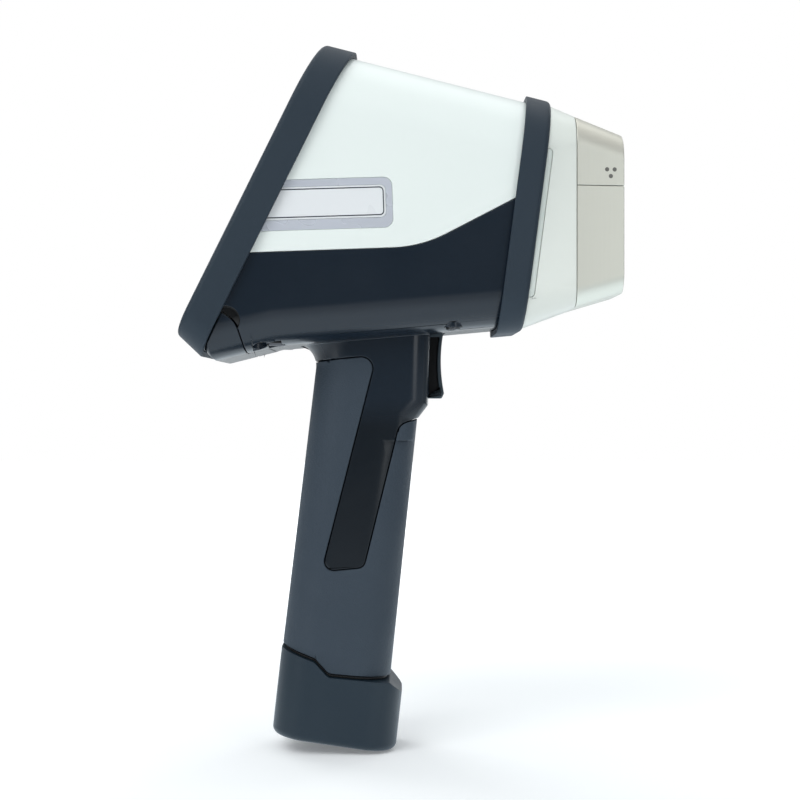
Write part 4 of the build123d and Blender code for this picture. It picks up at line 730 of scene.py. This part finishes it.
for side, name in ((-1, "right"), (1, "left")):
    outline = copied(pattern, "label_outline_" + name)
    outward = (Vector((0, side, 0)) - OUT_BACK * SIDE_SLOPE).normalized()
    depth = -(LABEL_FRONT - SCREEN).dot(OUT_BACK)
    reach = REAR_HALF_WIDTH - depth * SIDE_SLOPE
    along = Vector((cos(LABEL_TILT), 0, sin(LABEL_TILT)))
    along = (along - outward * along.dot(outward)).normalized()
    lay(outline, (LABEL_FRONT.x, side * reach, LABEL_FRONT.z), along, outward)
    edit(outline)
    bpy.ops.mesh.select_all(action="SELECT")
    bpy.ops.mesh.bisect(plane_co=SCREEN - OUT_BACK * GUARD_FRONT, plane_no=OUT_BACK,
                        use_fill=True, clear_outer=True)
    bpy.ops.object.mode_set(mode="OBJECT")
    outline.data.materials.append(line_ink)
    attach(outline, "housing")
bpy.data.objects.remove(pattern)


# ---- Display ----
# The bezel is a dark moulding under the rear guard. A sheet of glass covers the panel, and three
# soft keys stand out of the bezel below it.
bezel_plastic = moulded_material("bezel_plastic", (0.012, 0.015, 0.02), (0.01, 0.013, 0.018),
                                 (2200, 0.2, 0.4, 0.5))
key_rubber = moulded_material("key_rubber", (0.10, 0.115, 0.13), (0.09, 0.105, 0.12), (1800, 0.2, 0.45, 0.55))
lcd = moulded_material("lcd", (0.006, 0.012, 0.022), (0.005, 0.01, 0.018), (400, 0.02, 0.2, 0.25))
paint(["display_bezel"], bezel_plastic)
paint(["power_key", "menu_key_right", "menu_key_left"], key_rubber)
paint(["lcd_panel"], lcd)
ease_edges(["display_bezel", "power_key", "menu_key_right", "menu_key_left"], 0.3)
ease_edges(["lcd_panel"], 0.1)
clear_glass, glass_shader = blank_material("clear_glass")
glass_shader.inputs["Base Color"].default_value = (0.96, 0.98, 0.98, 1)
glass_shader.inputs["Roughness"].default_value = 0.02
glass_shader.inputs["Transmission Weight"].default_value = 1.0
glass_shader.inputs["IOR"].default_value = 1.45
paint(["cover_glass"], clear_glass)
ease_edges(["cover_glass"], 0.2)


# ---- Screen picture ----
# The panel is lit and shows a title strip, a spectrum with its peaks over a base line, and a list
# of readings as bars of different length. The picture lies in the gap behind the cover glass.
def lit_material(name, colour, strength):
    """Backlit colour, a little uneven across the panel."""
    material, shader = blank_material(name)
    tree = material.node_tree
    drift = tree.nodes.new("ShaderNodeGroup")
    drift.node_tree = TONE
    drift.inputs["Tone"].default_value = (*colour, 1)
    drift.inputs["Drift Tone"].default_value = (*[0.86 * value for value in colour], 1)
    tree.links.new(drift.outputs["Color"], shader.inputs["Emission Color"])
    tree.links.new(drift.outputs["Color"], shader.inputs["Base Color"])
    shader.inputs["Emission Strength"].default_value = strength
    shader.inputs["Roughness"].default_value = 0.4
    return material


PANEL_UP = 10.0
PANEL_DEPTH = 4.95
PRINT_THICK = 0.04
ACROSS = Vector((0, -1, 0))


def on_panel(piece, sunk):
    """Lays a piece on the lit panel, with its underside a little in front of the panel."""
    depth = PANEL_DEPTH - sunk
    lay(piece, SCREEN - OUT_BACK * depth * MM + UP_BACK * PANEL_UP * MM, ACROSS, OUT_BACK)


def lit_piece(name, rectangles, material):
    """Joined strips of one colour; each is x, y, width, height and corner radius."""
    strips = []
    for index, (x, y, width, height, radius) in enumerate(rectangles):
        strip = rounded_plate(name + str(index), width, height, radius, PRINT_THICK, rounds=3)
        strips.append(shifted(strip, x, y))
    piece = joined(name, strips)
    on_panel(piece, 0.03)
    piece.data.materials.append(material)
    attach(piece, "housing")


PANEL_WIDE = 56.0
TITLE_UP = 36.5
BUTTON_UP = -36.2
BUTTON_OUT = 14.4
ROW_LENGTHS = (26.0, 17.5, 12.0, 7.0, 3.5)
ROW_TOP = -13.0
ROW_STEP = 4.6
BAR_START = -20.6
SCALE_START = -26.6
SCALE_STEP = 5.35
rows = [ROW_TOP - index * ROW_STEP for index in range(len(ROW_LENGTHS))]
panel_blue = lit_material("panel_blue", (0.035, 0.13, 0.22), 0.55)
pale_light = lit_material("pale_light", (0.62, 0.74, 0.80), 0.7)
green_light = lit_material("green_light", (0.10, 0.55, 0.30), 0.7)
amber_light = lit_material("amber_light", (0.80, 0.42, 0.06), 0.7)
title = [(0, TITLE_UP, PANEL_WIDE, 5.2, 0.6)]
buttons = [(x, BUTTON_UP, 25, 5.4, 1.2) for x in (-BUTTON_OUT, BUTTON_OUT)]
lit_piece("screen_strips", title + buttons, panel_blue)
lit_piece("screen_list", [(-24.6, row, 3.4, 3.0, 0.5) for row in rows], pale_light)
bars = [(BAR_START + length / 2, row, length, 2.2, 0.4) for row, length in zip(rows, ROW_LENGTHS)]
lit_piece("screen_bars", bars[:3], green_light)
lit_piece("screen_small_bars", bars[3:], amber_light)
rules = [(0, -9.4, 54, 0.25, 0), (SCALE_START, 11.5, 0.3, 40, 0), (0, -8.3, 53.5, 0.3, 0)]
ticks = [(SCALE_START + step * SCALE_STEP, -7.8, 0.2, 1.0, 0) for step in range(1, 11)]
lit_piece("screen_lines", rules + ticks, pale_light)

# Each peak is its place along the scale, its height and its width.
PEAKS = ((4.0, 9.0, 0.7), (9.5, 4.5, 0.6), (16.0, 31.0, 0.75), (19.2, 7.5, 0.7), (27.0, 14.0, 0.8),
         (33.0, 22.0, 0.8), (36.6, 5.0, 0.8), (44.0, 3.5, 0.9), (49.0, 2.2, 1.0))
SPECTRUM_LONG = 52.0
SPECTRUM_STEPS = 130


def spectrum_height(along):
    """Count rate along the energy scale: a soft hump with narrow peaks on it."""
    hump = 0.6 + 3.2 * exp(-((along - 22.0) / 13.0) ** 2)
    return hump + sum(high * exp(-((along - middle) / wide) ** 2) for middle, high, wide in PEAKS)


deselect_all()
bpy.ops.mesh.primitive_grid_add(x_subdivisions=SPECTRUM_STEPS, y_subdivisions=1, size=1)
trace = bpy.context.object
trace.name = "screen_spectrum"
edit(trace)
bpy.ops.transform.resize(value=(SPECTRUM_LONG * MM, 1 * MM, 1), center_override=(0, 0, 0))
bpy.ops.object.mode_set(mode="OBJECT")
for point in trace.data.vertices:
    along = point.co.x / MM + SPECTRUM_LONG / 2
    point.co.y = spectrum_height(along) * MM if point.co.y > 0 else 0
edit(trace)
bpy.ops.mesh.select_all(action="SELECT")
pull(PRINT_THICK * MM)
bpy.ops.mesh.select_all(action="SELECT")
bpy.ops.mesh.normals_make_consistent(inside=False)
bpy.ops.object.mode_set(mode="OBJECT")
shifted(trace, 0, -8.0)
on_panel(trace, 0.08)
trace.data.materials.append(lit_material("trace_light", (0.10, 0.52, 0.75), 0.8))
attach(trace, "housing")


# ---- Key symbols ----
# Each key carries a pale printed sign: a broken ring with a bar on the power key, an arrow
# on one menu key and three short lines on the other.
key_print = moulded_material("key_print", (0.62, 0.66, 0.68), (0.56, 0.60, 0.62), (900, 0.05, 0.4, 0.5))
KEY_FACE = 2.25
KEYS_UP = -47.0
MENU_KEYS_OUT = 19.0
INK_THICK = 0.03
LINE_PITCH = 1.3
ring = rounded_plate("power_ring", 5.0, 5.0, 2.48, INK_THICK, band=0.55, gap=0.75, rounds=8)
bar = shifted(rounded_plate("power_bar", 0.55, 2.4, 0.2, INK_THICK, rounds=3), 0, 1.7)
pattern = rounded_plate("menu_line", 4.4, 0.6, 0.25, INK_THICK, rounds=3)
lines = [shifted(copied(pattern, "menu_line" + str(step)), 0, LINE_PITCH * step) for step in (-1, 0, 1)]
bpy.data.objects.remove(pattern)
deselect_all()
bpy.ops.mesh.primitive_circle_add(vertices=3, radius=2.1 * MM, fill_type="NGON")
arrow = bpy.context.object
arrow.name = "back_arrow"
edit(arrow)
bpy.ops.mesh.bevel(offset=0.3 * MM, segments=3, affect="VERTICES")
bpy.ops.transform.rotate(value=radians(90), orient_axis="Z", center_override=(0, 0, 0))
bpy.ops.mesh.select_all(action="SELECT")
pull(INK_THICK * MM)
bpy.ops.mesh.select_all(action="SELECT")
bpy.ops.mesh.normals_make_consistent(inside=False)
bpy.ops.object.mode_set(mode="OBJECT")
signs = {"power_key": (joined("power_sign", [ring, bar]), 0.0),
         "menu_key_right": (arrow, -MENU_KEYS_OUT),
         "menu_key_left": (joined("menu_sign", lines), MENU_KEYS_OUT)}
for key, (sign, x) in signs.items():
    shifted(sign, x, KEYS_UP)
    lay(sign, SCREEN - OUT_BACK * KEY_FACE * MM, ACROSS, OUT_BACK)
    sign.data.materials.append(key_print)
    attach(sign, key)


# ---- Trigger ----
# The trigger is a satin moulding that turns on a steel pin. Each flank has a recess, whose floor
# is painted near black as shade and left duller than the rim round it.
trigger_plastic = moulded_material("trigger_plastic", (0.028, 0.042, 0.054), (0.024, 0.037, 0.048),
                                   (1500, 0.1, 0.36, 0.44), sheen=0.35)
# Painted shade: the recess floors get a near-black colour, and only their duller finish is the moulding's own.
trigger_recess_shade = moulded_material("trigger_recess_shade", (0.0015, 0.0016, 0.0022), (0.0013, 0.0014, 0.002),
                                  (1500, 0.1, 0.5, 0.6), sheen=0.15)
paint(["trigger"], trigger_plastic)
nodes["trigger"].data.materials.append(trigger_recess_shade)
RECESS_HALF = 5.9 * MM
for polygon in nodes["trigger"].data.polygons:
    if abs(polygon.normal.y) > 0.9 and abs(polygon.center.y) < RECESS_HALF:
        polygon.material_index = 1
ease_edges(["trigger"], 0.35)


# ---- Parts inside ----
# The boards, the high-voltage module, the tube and the detector sit on the chassis plate and the
# measuring head. The pack of cells and its contacts are in the handle.
board_green = moulded_material("board", (0.03, 0.14, 0.07), (0.025, 0.11, 0.055), (300, 0.1, 0.3, 0.45))
module_metal = moulded_material("module_metal", (0.25, 0.27, 0.29), (0.22, 0.24, 0.26),
                                (700, 0.2, 0.35, 0.5), metallic=0.4)
tube_brass = brushed_metal("tube_metal", (0.66, 0.52, 0.28), (0.55, 0.42, 0.22), (900, 900, 900), 0.3)
contact_gold = brushed_metal("contact_metal", (0.85, 0.65, 0.32), (0.75, 0.56, 0.27), (900, 900, 900), 0.22)
socket_metal = brushed_metal("socket_metal", (0.68, 0.68, 0.69), (0.55, 0.55, 0.56), (200, 1500, 200), 0.25)
black_plastic = moulded_material("black_plastic", (0.01, 0.01, 0.011), (0.014, 0.014, 0.015),
                                 (1500, 0.15, 0.4, 0.5))
pack_plastic = moulded_material("pack_plastic", (0.03, 0.032, 0.037), (0.025, 0.027, 0.031),
                                (1500, 0.25, 0.45, 0.55))
paint(["main_board", "key_board", "signal_board", "port_board"], board_green)
paint(["high_voltage_module", "filter_motor", "detector"], module_metal)
paint(["xray_tube"], tube_brass)
paint(["contact_pins", "battery_contacts"], contact_gold)
paint(["port_sockets"], socket_metal)
paint(["camera", "trigger_switch", "contact_block"], black_plastic)
paint(["battery_pack"], pack_plastic)
ease_edges(["high_voltage_module", "xray_tube", "detector", "port_sockets"], 0.15)
ease_edges(["battery_pack", "contact_block"], 0.15)


# ---- Socket tongues ----
# Inside each data socket a black moulded tongue carries a row of gold contacts, which show on
# both of its faces.
BAY_TOP = Vector((-71.0, 0, 178.6)) * MM
BAY_RUN = Vector((20.5, 0, -16.0)) * MM
SOCKET_SHARE = 0.45
SOCKET_PITCH = 13.0
TONGUE_DEEP = 6.2
TONGUE_LONG = 5.0
CONTACT_PITCH = 1.0
BAY_OUT = Vector((BAY_RUN.z, 0, -BAY_RUN.x)).normalized()
tongue_pattern = rounded_plate("tongue", 6.4, 0.75, 0.15, TONGUE_LONG, rounds=2)
contact = rounded_plate("contact", 0.42, 0.87, 0.06, TONGUE_LONG - 0.5, rounds=2)
contacts = [shifted(copied(contact, "contact" + str(step)), step * CONTACT_PITCH, 0)
            for step in (-2, -1, 0, 1, 2)]
contact_pattern = joined("contact_row", contacts)
bpy.data.objects.remove(contact)
for number in (-1, 0, 1):
    tongue = copied(tongue_pattern, "socket_tongue_" + str(number + 2))
    row = copied(contact_pattern, "socket_contacts_" + str(number + 2))
    tongue.data.materials.append(black_plastic)
    row.data.materials.append(contact_gold)
    for piece in (tongue, row):
        shifted(piece, number * SOCKET_PITCH, 0, -TONGUE_DEEP)
        lay(piece, BAY_TOP + BAY_RUN * SOCKET_SHARE, Vector((0, 1, 0)), BAY_OUT)
        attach(piece, "housing")
bpy.data.objects.remove(tongue_pattern)
bpy.data.objects.remove(contact_pattern)
